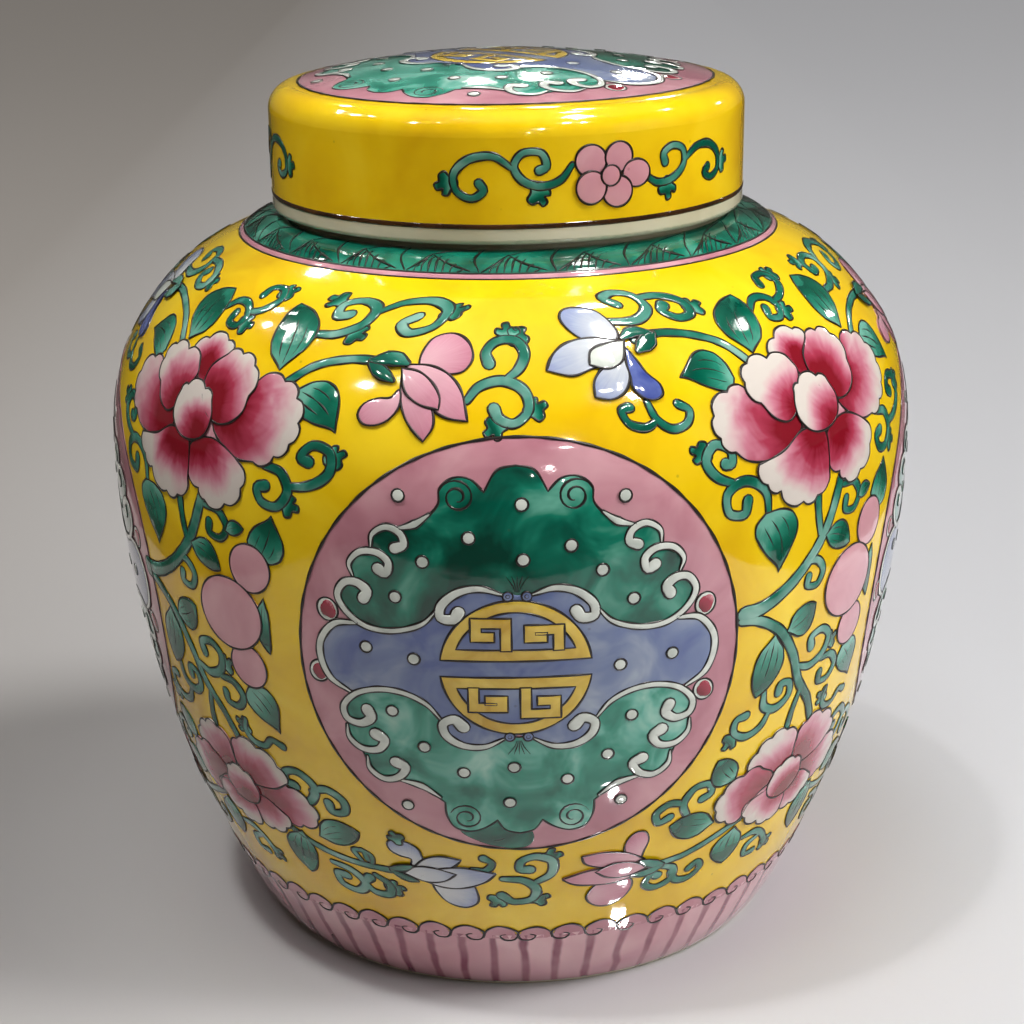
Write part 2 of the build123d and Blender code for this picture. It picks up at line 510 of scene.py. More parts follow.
# %% A node group for brush hairs
hairs, hairs_in, hairs_out = make_group(
    "Brush hairs",
    [("Brush", VECTOR, None), ("Streaks", FLOAT, 16.0), ("Strength", FLOAT, 0.3)],
    [("Reach", FLOAT), ("Along", FLOAT)],
)
along, across, tone = add_node(hairs, "ShaderNodeSeparateXYZ", {0: hairs_in.outputs["Brush"]}).outputs
flat_brush = add_node(hairs, "ShaderNodeCombineXYZ", {0: along, 1: across})
spread = add_node(hairs, "ShaderNodeVectorMath", {0: flat_brush.outputs[0]}, operation="LENGTH")
spread = spread.outputs["Value"]
fan = math_node(hairs, "MULTIPLY", math_node(hairs, "ARCTAN2", across, along), hairs_in.outputs["Streaks"])
hair_place = add_node(hairs, "ShaderNodeCombineXYZ", {0: fan, 1: spread, 2: tone})
hair_noise = add_node(
    hairs, "ShaderNodeTexNoise", {"Vector": hair_place.outputs[0], "Scale": 1.6, "Detail": 2.0}
)
shift = math_node(hairs, "SUBTRACT", hair_noise.outputs[0], 0.5)
shift = math_node(hairs, "MULTIPLY", shift, hairs_in.outputs["Strength"])
shift = math_node(hairs, "ADD", shift, math_node(hairs, "MULTIPLY_ADD", tone, 0.16, -0.08))
hairs.links.new(math_node(hairs, "ADD", spread, shift), hairs_out.inputs["Reach"])
hairs.links.new(math_node(hairs, "ADD", along, shift), hairs_out.inputs["Along"])

# %% Helpers that every material uses
def paint(red, green, blue):
    """A colour as a painter's chart gives it, from 0 to 255, in the linear values that nodes need."""
    tones_of = [v / 255 for v in (red, green, blue)]
    return (*[t / 12.92 if t <= 0.04045 else ((t + 0.055) / 1.055) ** 2.4 for t in tones_of], 1.0)


def ramp(tree, factor, stops):
    """A run of colours. Each stop is its place from 0 to 1, and red, green and blue as for paint."""
    node = add_node(tree, "ShaderNodeValToRGB", {0: factor})
    elements = node.color_ramp.elements
    while len(elements) < len(stops):
        elements.new(0.5)
    for element, (place, *colour) in zip(elements, stops):
        element.position = place
        element.color = paint(*colour)
    return node.outputs["Color"]


def blend_colours(tree, factor, first, second):
    node = add_node(tree, "ShaderNodeMix", data_type="RGBA")
    for socket, value in ((0, factor), (6, first), (7, second)):
        if isinstance(value, bpy.types.NodeSocket):
            tree.links.new(value, node.inputs[socket])
        else:
            node.inputs[socket].default_value = value
    return node.outputs[2]


def glass_base(name, wash_size=70.0, ripple_size=120.0, ripple=0.2, gloss=(0.05, 0.12)):
    """A material with the shared fired surface. The caller links its own colour."""
    material = bpy.data.materials.new(name)
    material.use_nodes = True
    tree = material.node_tree
    shader = tree.nodes["Principled BSDF"]
    shader.inputs["IOR"].default_value = 1.52
    shader.inputs["Coat Weight"].default_value = 0.6
    shader.inputs["Coat Roughness"].default_value = 0.03
    place = add_node(tree, "ShaderNodeTexCoord").outputs["Object"]
    surface = add_node(tree, "ShaderNodeGroup", node_tree=fired)
    tree.links.new(place, surface.inputs["Place"])
    surface.inputs["Wash Size"].default_value = wash_size
    surface.inputs["Ripple Size"].default_value = ripple_size
    bump = add_node(
        tree, "ShaderNodeBump", {"Height": surface.outputs["Ripple"], "Strength": ripple, "Distance": 0.0006}
    )
    rough = fade(tree, surface.outputs["Pitting"], 0.0, 1.0, *gloss)
    tree.links.new(bump.outputs[0], shader.inputs["Normal"])
    tree.links.new(rough, shader.inputs["Roughness"])
    return material, tree, shader, surface, place


ASH = paint(70, 55, 30)


def brush_of(tree, streaks, strength):
    """The brush group, fed with the coordinates that each mark carries."""
    marks = add_node(tree, "ShaderNodeAttribute", attribute_name="brush")
    group = add_node(tree, "ShaderNodeGroup", node_tree=hairs)
    tree.links.new(marks.outputs["Vector"], group.inputs["Brush"])
    group.inputs["Streaks"].default_value = streaks
    group.inputs["Strength"].default_value = strength
    return group


# %% [markdown]
# ## The enamels
# A washed enamel pools between a pale and a deep colour. A brushed enamel changes along each petal or
# leaf instead, from the base, where the brush was set down, to the edge.

# %% Washed and brushed enamels
def washed(name, slot, stops, wash_size=70.0, specks=0.25, **surface_settings):
    """An enamel whose colour pools in slow washes."""
    material, tree, shader, surface, _ = glass_base(name, wash_size, **surface_settings)
    colour = ramp(tree, surface.outputs["Wash"], stops)
    speckle = math_node(tree, "MULTIPLY", surface.outputs["Specks"], specks)
    tree.links.new(blend_colours(tree, speckle, colour, ASH), shader.inputs["Base Color"])
    ENAMELS[name] = (material, slot)


def brushed(name, slot, stops, measure="Reach", streaks=16.0, strength=0.3, wash=0.25, **surface_settings):
    """An enamel that changes from the base of each mark to its edge."""
    material, tree, shader, surface, _ = glass_base(name, **surface_settings)
    brush = brush_of(tree, streaks, strength)
    drift = math_node(tree, "MULTIPLY_ADD", surface.outputs["Wash"], wash, -0.5 * wash)
    factor = math_node(tree, "ADD", brush.outputs[measure], drift, clamp=True)
    tree.links.new(ramp(tree, factor, stops), shader.inputs["Base Color"])
    ENAMELS[name] = (material, slot)


washed("pink", "pink_enamel", [(0.25, 174, 110, 124), (0.5, 196, 137, 147), (0.75, 214, 164, 170)], 55.0)
washed("peach", "pink_enamel", [(0.3, 200, 140, 150), (0.7, 222, 170, 176)], 50.0)
JADE = [(0.34, 0, 62, 48), (0.48, 2, 94, 74), (0.58, 22, 122, 98), (0.74, 104, 172, 150)]
PALE_JADE = [(0.32, 10, 106, 86), (0.46, 52, 146, 122), (0.56, 106, 178, 158), (0.7, 162, 208, 190)]
washed("jade", "green_enamel", JADE, 75.0)
washed("pale_jade", "green_enamel", PALE_JADE, 80.0)
washed("blue", "blue_enamel", [(0.3, 88, 102, 152), (0.5, 116, 130, 165), (0.72, 160, 170, 186)], 75.0)
washed("deep_blue", "blue_enamel", [(0.3, 52, 66, 138), (0.6, 96, 110, 170)], 120.0)
washed("white", "white_enamel", [(0.3, 192, 198, 188), (0.6, 222, 226, 216)], 160.0, 0.1)
washed("gold", "yellow_enamel", [(0.3, 204, 162, 44), (0.65, 234, 202, 86)], 110.0)
washed("ink", "ink_line", [(0.3, 14, 9, 8), (0.7, 36, 24, 20)], 200.0, 0.0, gloss=(0.3, 0.42))
ink_shader = ENAMELS["ink"][0].node_tree.nodes["Principled BSDF"]
ink_shader.inputs["Coat Weight"].default_value = 0.1
ink_shader.inputs["Coat Roughness"].default_value = 0.2

RUBY = [(0.2, 122, 14, 34), (0.75, 160, 40, 62), (0.95, 214, 150, 158)]
BLUSH = [(0.1, 222, 174, 182), (0.6, 210, 150, 164), (1.0, 194, 124, 142)]
SKY = [(0.15, 212, 214, 214), (0.55, 192, 197, 204), (0.95, 148, 158, 190)]
ROSE = [
    (0.28, 126, 14, 30), (0.48, 164, 52, 76), (0.64, 196, 118, 136), (0.78, 210, 172, 174),
    (0.92, 212, 202, 192),
]  # fmt: skip
LEAF = [
    (0.12, 110, 172, 152), (0.36, 38, 130, 106), (0.6, 2, 92, 70), (0.86, 0, 70, 54), (1.0, 34, 120, 97),
]  # fmt: skip
STEM = [(0.3, 0, 80, 62), (0.46, 24, 110, 90), (0.6, 80, 142, 126), (0.78, 132, 176, 160)]
brushed("ruby", "pink_enamel", RUBY, wash=0.2)
brushed("rose", "pink_enamel", ROSE, streaks=3.0, strength=0.15, wash=0.8)
brushed("blush", "pink_enamel", BLUSH)
brushed("sky", "blue_enamel", SKY, wash=0.7)
brushed("leaf", "green_enamel", LEAF, measure="Along", strength=0.12, wash=1.3)
brushed("stem", "green_enamel", STEM, measure="Along", strength=0.1, wash=1.3)
print("enamels:", sorted(ENAMELS))

# %% [markdown]
# ## The glaze on the porcelain itself
# Outside, the jar is glazed yellow. Inside, and on the neck under the lid, the glaze is clear over
# white porcelain, and the ring that the jar stands on and the rim under the lid are left bare, so
# that they don't stick in the kiln. One material finds these places from the height and from which
# way the surface faces, so the turned mesh needs no cutting.

# %% Yellow glaze, white inside, bare where it stands
YELLOW = [(0.28, 226, 178, 6), (0.5, 240, 198, 14), (0.72, 248, 212, 36)]
PORCELAIN = [(0.3, 200, 192, 160), (0.7, 222, 216, 190)]
BARE_CLAY = paint(196, 178, 148)


def between(tree, value, low, high, soft=0.0002):
    """1 where a value lies between two limits, with a soft step at each."""
    up = fade(tree, value, low - soft, low + soft)
    down = fade(tree, value, high + soft, high - soft)
    return math_node(tree, "MULTIPLY", up, down)


def pot_glaze(name, yellow_from, yellow_to, bare_bands):
    """Yellow outside between two heights, bare within the bands of height, and white elsewhere."""
    material, tree, shader, surface, place = glass_base(name, wash_size=38.0, ripple_size=85.0, ripple=0.15)
    facing = add_node(tree, "ShaderNodeNewGeometry").outputs["Normal"]
    apart = add_node(tree, "ShaderNodeSeparateXYZ", {0: place})
    level = add_node(tree, "ShaderNodeVectorMath", {0: place, 1: (1, 1, 0)}, operation="MULTIPLY")
    outward = add_node(
        tree, "ShaderNodeVectorMath", {0: level.outputs[0], 1: facing}, operation="DOT_PRODUCT"
    )
    outside = between(tree, outward.outputs["Value"], yellow_from[0], 1.0, 0.00001)
    height = between(tree, apart.outputs[2], yellow_from[1], yellow_to)
    yellow = math_node(tree, "MULTIPLY", outside, height)
    white = ramp(tree, surface.outputs["Wash"], PORCELAIN)
    colour = blend_colours(tree, yellow, white, ramp(tree, surface.outputs["Wash"], YELLOW))
    speckle = math_node(tree, "MULTIPLY", surface.outputs["Specks"], 0.3)
    colour = blend_colours(tree, speckle, colour, ASH)
    bare = None
    for low, high in bare_bands:
        strip = between(tree, apart.outputs[2], low, high)
        bare = strip if bare is None else math_node(tree, "MAXIMUM", bare, strip)
    clay = blend_colours(tree, surface.outputs["Pitting"], BARE_CLAY, paint(222, 208, 182))
    tree.links.new(blend_colours(tree, bare, colour, clay), shader.inputs["Base Color"])
    smooth_gloss = shader.inputs["Roughness"].links[0].from_socket
    rough = math_node(tree, "MULTIPLY_ADD", bare, 0.6, smooth_gloss)
    tree.links.new(rough, shader.inputs["Roughness"])
    return material


def assign(node, material):
    node.data.materials.clear()
    node.data.materials.append(material)


LIP_TOP = 192.3  # the yellow of the lid starts here, above the cream lip
# yellow starts where the surface faces outward by so much, in metres of radius, and above a height
assign(jar, pot_glaze("jar glaze", (0.0005, 0.0024), 0.1866, [(-0.001, 0.0006), (0.2124, 0.214)]))
assign(lid, pot_glaze("lid glaze", (-0.00002, LIP_TOP * MM), 0.3, [(0.18, 0.1886)]))
print("glazed", jar.name, "and", lid.name)

# %% [markdown]
# ## Leaves, scrolls and stems
# The sprays are built from a few shapes that the painter repeats: a leaf with three veins, a curling
# scroll with a forked tip, a stem. Each is a short function, so the sprays below are lists of places.

# %% Shapes that the painter repeats
def axis_of(base, tip):
    """Start, direction and sideways direction of a shape that grows from base to tip."""
    base, tip = np.array(base, float), np.array(tip, float)
    reach = tip - base
    return base, reach, np.array([-reach[1], reach[0]]) / max(np.hypot(*reach), 1e-6)


# how far along a leaf a place is, and how wide the leaf is there
ALMOND = (
    (0, 0.05, 0.13, 0.25, 0.4, 0.55, 0.7, 0.83, 0.93, 1),
    (0, 0.12, 0.4, 0.78, 0.99, 1.0, 0.88, 0.62, 0.32, 0),
)
DROP = (
    (0, 0.05, 0.13, 0.25, 0.4, 0.55, 0.68, 0.8, 0.9, 1),
    (0, 0.5, 0.8, 0.98, 1.0, 0.91, 0.7, 0.41, 0.16, 0),
)
VEIN = 0.22  # half its width


def leaf(drawing, base, tip, width, bend=0.0, layer=1, form=ALMOND):
    """A plump leaf with a midrib and two side veins."""
    start, reach, side = axis_of(base, tip)
    t = np.linspace(0, 1, 13)
    hook = math.copysign(0.05 * np.hypot(*reach), bend or 1) * t**5
    middle = start + t[:, None] * reach + (bend * np.sin(math.pi * t) - hook)[:, None] * side
    half = 0.5 * width * np.interp(t, *form)[:, None]
    left, right = middle + half * side, middle - half * side
    drawing.patch("leaf", layer, joined(left, right[::-1]), along=(start, start + reach), width=width / 2)
    drawing.line(smooth(middle[1:10]), VEIN, layer, ends=0.3)
    for share in (-0.48, 0.48):
        drawing.line(smooth((middle + share * half * side)[2:8]), VEIN, layer, ends=0.3)


FORK = [
    (-0.2, 0.22), (0.12, 0.34), (0.34, 0.66), (0.64, 0.6), (0.6, 0.3), (0.94, 0.34), (1.08, 0.04),
    (0.78, -0.14), (0.78, -0.48), (0.46, -0.66), (0.14, -0.34), (-0.2, -0.22),
]  # fmt: skip


def fork(drawing, base, towards, size=4.2, layer=0):
    """The tip of a scroll: three small round lobes."""
    start, reach, side = axis_of(base, towards)
    along = reach / max(np.hypot(*reach), 1e-6)
    outline = [start + size * (a * along + s * side) for a, s in FORK]
    outline = smooth(outline, closed=True, step=0.4)
    drawing.patch("leaf", layer, outline, along=(start, start + size * along), width=size * 0.6)


SCROLL = (0.75, 1.05, 1.2, 1.15, 1.0, 1.0, 1.35)


def scroll(drawing, places, forks=(), size=1.0):
    """A curling green scroll, thin where it springs and swollen where it curls in, with forked tips.

    Each fork is where it leaves the scroll and the way it points. Size is for the scroll's width.
    """
    for base, towards in forks:
        fork(drawing, base, towards)
    drawing.ribbon("stem", 0, places, [w * size for w in SCROLL])


def stem(drawing, places, widths):
    drawing.ribbon("stem", 0, places, widths)


def petal(drawing, enamel, layer, out, back=None):
    """A petal of a half-open flower: round, or pointed at both ends where it has a way back."""
    if back is None:
        drawing.patch(enamel, layer, smooth(out, closed=True), along=(out[0], out[len(out) // 2]))
    else:
        drawing.patch(enamel, layer, joined(out, [out[-1], *back, out[0]]), along=(out[0], out[-1]))


def frilled(drawing, layer, cusps, base, brushed_from, brushed_to, bulge=0.26):
    """A peony petal: a soft scallop between each two cusps of its rim, and a smooth base between them."""
    base = [cusps[-1], *base, cusps[0]]
    heart = np.mean(base, axis=0)
    runs = []
    for a, b in zip(np.array(cusps, float), np.array(cusps[1:], float)):
        out = np.array([b[1] - a[1], a[0] - b[0]]) * bulge
        if out @ ((a + b) / 2 - heart) < 0:
            out = -out
        left, right = a + 0.2 * (b - a) + 0.75 * out, b - 0.2 * (b - a) + 0.75 * out
        runs.append([a, left, (a + b) / 2 + out, right, b])
    drawing.patch("rose", layer, joined(*runs, base), along=(brushed_from, brushed_to))


# %% [markdown]
# ## The flower spray
# Between each two roundels a branch leaves the edge of one roundel and forks up to a large peony and
# down to a smaller one. From these grow half-open flowers, leaves and scrolls, with three peaches
# beside the next roundel. All of it is one drawing, with x = 0 half way between the roundels.

# %% Branches, peonies and peaches
spray = Drawing()
stem(spray, [(-24.9, 112.7), (-20, 113), (-12, 116.5), (-5, 122), (0.5, 128.5), (5.5, 139)], (1.9, 1.5, 1.4))
stem(spray, [(-1.5, 126.5), (-2.8, 132), (-3.6, 140)], (0.9, 1.2))
low_branch = [(-25.2, 111), (-20.5, 110), (-13, 105.5), (-7, 97.5), (-3, 89), (2.5, 82), (6.5, 74)]
stem(spray, low_branch, (1.2, 1.3, 1.1))
stem(spray, [(-1.5, 86.5), (-3, 81), (-3.8, 74)], (0.7, 1.1))
stem(spray, [(-14, 170), (-20, 177.5), (-27, 181), (-34, 182.2), (-40, 181)], (1.0, 0.9))
stem(spray, [(24, 168), (31, 174.5), (38, 176.7), (46, 176.8)], (1.0, 0.9))
stem(spray, [(-12, 51), (-20, 47.2), (-28, 44.2), (-36, 43.2)], (1.0, 0.9))
stem(spray, [(14, 51), (21, 47), (29, 44.6), (37, 43.6), (44, 43.2)], (1.0, 0.9))

# each petal: layer, cusps of its rim, the base that joins them, and where the ruby starts and ends
UPPER_PEONY = [
    (
        2, [(18.3, 169.5), (25.5, 170), (30.2, 166.5), (32.6, 161), (31.5, 156), (28, 152.8), (22.5, 150.8)],
        [(17.5, 150.8), (12.5, 153), (8, 157.5), (11, 164)], (12, 163), (32, 158),
    ),
    (
        2, [(-20, 165.8), (-25, 165.6), (-30.6, 160.8), (-30.6, 155.6), (-27.5, 152)],
        [(-25, 149.8), (-19.5, 148.7), (-12, 150), (-7, 154.5), (-8, 160)], (-6, 153.5), (-31, 160),
    ),
    (
        2, [(-8.6, 171.2), (-4.6, 175.7), (2.8, 176.6), (6.2, 174.4)], [(2.2, 170), (0, 164.5), (-4, 168)],
        (-0.8, 169.5), (-1, 178),
    ),
    (
        3, [(0.6, 146), (4.8, 141.2), (7, 138.8), (14, 139.3), (19.2, 144), (19, 149.5)],
        [(16, 151.5), (9, 154), (2, 152), (0.3, 149)], (4.5, 152.5), (13, 138),
    ),
    (
        4, [(-21.8, 148.2), (-19.8, 143.2), (-16, 141), (-8.8, 137), (-4, 137.4), (0.6, 142.5)],
        [(0.9, 146), (0.2, 152), (-7, 153.5), (-14, 150)], (-3, 151.5), (-12, 137),
    ),
    (
        5, [(-17.2, 161.6), (-19.4, 167), (-16.5, 171.2), (-10.3, 171.4), (-3.4, 169.3)],
        [(-2.6, 167.3), (-5, 162), (-7.5, 158), (-11, 156.2), (-15, 158)], (-6, 158.5), (-18, 169),
    ),
    (
        5, [(5.3, 173.6), (10.2, 174.4), (15.3, 172.4), (17.2, 165.4)],
        [(16.8, 161.5), (13.5, 158.4), (9, 157.6), (4, 160), (1.2, 165), (1.4, 169.5)],
        (6, 160.5), (14, 174.5),
    ),
    (
        6, [(-6.6, 162.3), (-4.4, 164), (2.5, 164.4), (6, 162.4)],
        [(7.4, 158.5), (6, 154.3), (1.5, 152.1), (-4, 152.6), (-7.4, 156), (-7.6, 159.5)],
        (4.5, 151.5), (-1, 163.5),
    ),
]  # fmt: skip
LOWER_PEONY = [
    (
        2, [(14, 65), (19.5, 64.5), (25, 61), (25.5, 56), (20, 52.8), (15, 53)],
        [(9, 56.5), (6.5, 60), (9, 64)], (5, 59), (27, 59),
    ),
    (
        3, [(2, 71), (5, 74.6), (12, 74.2), (18, 70.5), (20, 66)], [(14, 62.5), (4, 62), (1.6, 67)],
        (4, 62), (14, 76),
    ),
    (
        3, [(3.5, 48.6), (8, 47.6), (13, 49.5), (15.5, 54)], [(9, 58), (4, 57), (2.6, 52)],
        (4, 58), (10, 46.5),
    ),
    (
        4, [(-14.2, 66), (-12.6, 71.6), (-8.6, 74.6), (-3.4, 75.2), (1.4, 71)],
        [(1, 65), (-3, 62.5), (-9, 64.5)], (-1, 62), (-10, 76),
    ),
    (
        5, [(-9.5, 65.8), (-15.5, 65.6), (-20.8, 62), (-21.4, 56.4), (-17.6, 52.4), (-12.4, 51.6)],
        [(-10.5, 56), (-4.5, 58.5), (-5, 63)], (-4, 59.5), (-22, 59),
    ),
    (
        5, [(-11.8, 55.8), (-10.5, 50.8), (-5.5, 48), (-1, 46.2), (3.5, 48.6)],
        [(3.4, 53), (0, 57.5), (-5, 59.5)], (0, 58.5), (-6.5, 46.5),
    ),
    (
        6, [(-4.4, 62), (-2, 64), (3.4, 64.2), (6.6, 62)],
        [(7.4, 58.5), (4.8, 54.6), (0.2, 53.4), (-4.2, 55.4), (-5.4, 59)], (3, 54), (1, 66.5),
    ),
]  # fmt: skip
for flower, heart in ((UPPER_PEONY, ring((1.5, 155), 8.5)), (LOWER_PEONY, ring((1, 59.5), 6.5))):
    # a pale pool under the petals, which shows where they don't quite meet
    spray.patch("rose", 1, heart, along=(heart.min(0) - (0, 14), heart.max(0)), ink=0)
    for layer, cusps, base, brushed_from, brushed_to in flower:
        frilled(spray, layer, cusps, base, brushed_from, brushed_to)

for centre, across, up, layer in (
    ((20.5, 124.5), 6.1, 6.1, 2),
    ((16.5, 98.5), 5.7, 5.7, 2),
    ((12.5, 111.5), 10.3, 9.2, 3),
):
    spray.patch("peach", layer, ring(centre, across, up), ink=0.28)

# %% Half-open flowers
def cap(drawing, places, widths=(0.5, 1.7, 1.6, 0.5), layer=6):
    """The green cup that holds a half-open flower."""
    drawing.ribbon("stem", layer, places, widths)


# each petal: enamel, layer, its rim, and where it is pointed, the way back from its tip
# above, pale blue, to the left of the branch
for enamel, layer, *runs in (
    (
        "sky", 2, [(-42.8, 182.8), (-42.6, 187), (-43.8, 190), (-47, 191.2), (-50.5, 190.6), (-52.8, 188),
        (-52.8, 184.8), (-51, 182), (-46, 180.4)],
    ),
    (
        "sky", 3, [(-42.5, 181), (-50, 182.4), (-56, 181.2), (-60.3, 178.4), (-63.5, 174.8)],
        [(-58.5, 173.3), (-54, 174.5), (-48, 176.5)],
    ),
    (
        "sky", 4, [(-44, 178), (-50.5, 175), (-54.5, 171.6), (-56, 168)],
        [(-52.8, 167.2), (-49.3, 168.4), (-46.6, 171.4)],
    ),
    (
        "deep_blue", 5, [(-43.3, 179), (-45.2, 175.5), (-46, 172), (-46.8, 169.3), (-45.3, 166.9),
        (-43, 166.2), (-40.8, 167.2), (-40.3, 169.6), (-42, 172.6), (-42.6, 176)],
    ),
    ("white", 6, [(-42.5, 181), (-47, 180.6), (-51.4, 179), (-53.5, 175.6)], [(-50, 174.4), (-46, 175.8)]),
):  # fmt: skip
    petal(spray, enamel, layer, *runs)
cap(spray, [(-35, 182), (-38, 179.8), (-41, 178)])
cap(spray, [(-35.5, 182.3), (-39, 183), (-42.8, 181.6)], (0.5, 1.2, 1.2, 0.4))

# above, pink, to the right
for enamel, layer, *runs in (
    (
        "blush", 2, [(54.6, 176), (53.5, 180), (54.2, 183), (57, 184), (60.3, 183), (63.8, 180.3),
        (65.8, 177), (65.2, 174.5), (62.3, 173.8), (57, 174.5)],
    ),
    (
        "blush", 3, [(51.5, 176), (57, 175.8), (62.5, 173.6), (67.2, 169.6), (71.2, 163)],
        [(66, 163.8), (60, 167), (55, 171)],
    ),
    (
        "blush", 4, [(52, 173.5), (54.6, 167), (58, 162.3), (62.6, 158.4)],
        [(63.8, 161.5), (62.6, 165), (58, 170)],
    ),
    (
        "blush", 5, [(53, 170), (52, 168.1), (49, 167.8), (46.5, 166.5), (46, 164), (47.8, 162),
        (50.6, 161.7), (53.2, 163), (54.5, 165.4), (54.2, 168)],
    ),
    (
        "blush", 6, [(51.2, 175), (55.5, 174.2), (60.2, 171.2), (63, 168), (63.7, 165.5)],
        [(59, 166.6), (54.6, 169.4)],
    ),
):  # fmt: skip
    petal(spray, enamel, layer, *runs)
cap(spray, [(43.5, 176.6), (48, 177.2), (52, 176)], layer=7)
cap(spray, [(43.8, 175.8), (47.2, 173.8), (50.8, 171.8)], (0.5, 1.3, 1.2, 0.3), layer=7)

# below, pink, to the left
for enamel, layer, *runs in (
    (
        "blush", 2, [(-39.5, 49.5), (-39.2, 53), (-41, 55.8), (-43.5, 55.8), (-45, 53.5), (-44.8, 50.5),
        (-42.5, 47.8), (-40, 46)],
    ),
    (
        "blush", 3, [(-38.5, 46.5), (-44, 49.6), (-50, 50.8), (-55.3, 50.2)],
        [(-54, 47.8), (-50, 46), (-44, 45.2)],
    ),
    (
        "blush", 4, [(-50.3, 35.8), (-48, 32.8), (-44.6, 31.6), (-41, 33), (-39.4, 36.6), (-40.2, 40),
        (-44.6, 42), (-49, 40)],
    ),
    ("blush", 5, [(-37.5, 43), (-46, 45), (-52, 45.2), (-58.3, 43)], [(-55, 41), (-48, 39.9), (-42, 40.4)]),
    ("blush", 6, [(-37, 43.6), (-42, 46.3), (-47, 46.6), (-50.6, 44.6)], [(-47, 42.3), (-42, 41.6)]),
):  # fmt: skip
    petal(spray, enamel, layer, *runs)
cap(spray, [(-33, 43.4), (-36.5, 44.6), (-39.5, 46.2)], (0.5, 1.2, 1.1, 0.4), layer=7)
cap(spray, [(-33, 43), (-37, 41.6), (-40.5, 41.6)], (0.5, 1.2, 1.1, 0.4), layer=7)

# below, blue, to the right
for enamel, layer, *runs in (
    (
        "sky", 2, [(47.2, 46), (47.9, 48.3), (45.6, 49), (43.4, 50.6), (43.2, 52.8), (45, 54.3), (48, 54),
        (50.5, 52.4), (51, 50), (50.2, 47)],
    ),
    ("sky", 2, [(51, 41), (50.8, 37), (52.4, 33.6), (56, 32.2), (59.6, 34), (60.8, 37.4), (60.4, 41)]),
    ("sky", 3, [(47.5, 45.5), (51.5, 48.8), (55.8, 50), (60.6, 49)], [(57.4, 46.4), (52, 45)]),
    ("sky", 4, [(47.5, 42), (53, 45.4), (60, 46.4), (67.8, 44.6)], [(64, 41.6), (57, 39.2), (52, 39.6)]),
    ("sky", 5, [(44.5, 43.4), (48.2, 45.9), (52.6, 46), (57.8, 44.2)], [(54, 41.6), (49.2, 41)]),
):  # fmt: skip
    petal(spray, enamel, layer, *runs)
cap(spray, [(41.5, 44.4), (44.5, 45), (47.2, 46)], (0.4, 1.0, 1.0, 0.4))
cap(spray, [(41.5, 43.8), (44, 42), (47.2, 41)], (0.4, 1.1, 1.1, 0.3))
fork(spray, (46.4, 53.6), (46, 58), 3.4, layer=3)

# %% Leaves, each from its base to its tip, with its width
for base, tip, width, bend in (
    ((-13, 173.5), (-8.8, 189.5), 11.5, 1.0),
    ((0, 126.5), (11, 122.5), 7.0, 0.8),
    ((-10.5, 104.5), (-0.8, 109), 8.2, -0.8),
    ((-14.3, 105), (-16.8, 88.5), 9.2, 0.5),
    ((-18, 65), (-25.5, 72.5), 7.6, 0.6),
    ((-21, 53), (-34.5, 55), 8.0, 0.0),
    ((-12.8, 48.6), (-13.2, 36.3), 9.2, -0.6),
    ((22.5, 172.5), (17.5, 190), 11.0, -1.2),
    ((24, 50.5), (36.5, 55.5), 8.0, 0.4),
    ((18.5, 50.5), (14.3, 35.6), 9.2, -1.0),
    ((24, 117.5), (23.5, 103.5), 4.5, -1.0),
):
    leaf(spray, base, tip, width, bend)
for base, tip, width, bend in (  # these have a round base and a long point
    ((-21.5, 168.5), (-34.5, 171.3), 9.8, -2.0),
    ((-20.5, 136.5), (-15, 121.5), 12.0, 2.2),
    ((29.5, 168.5), (42.5, 160.2), 9.2, 1.4),
    ((23.5, 127), (28.5, 138.5), 10.0, -0.6),
    ((15, 92.5), (23, 82), 9.5, 1.0),
):
    leaf(spray, base, tip, width, bend, form=DROP)

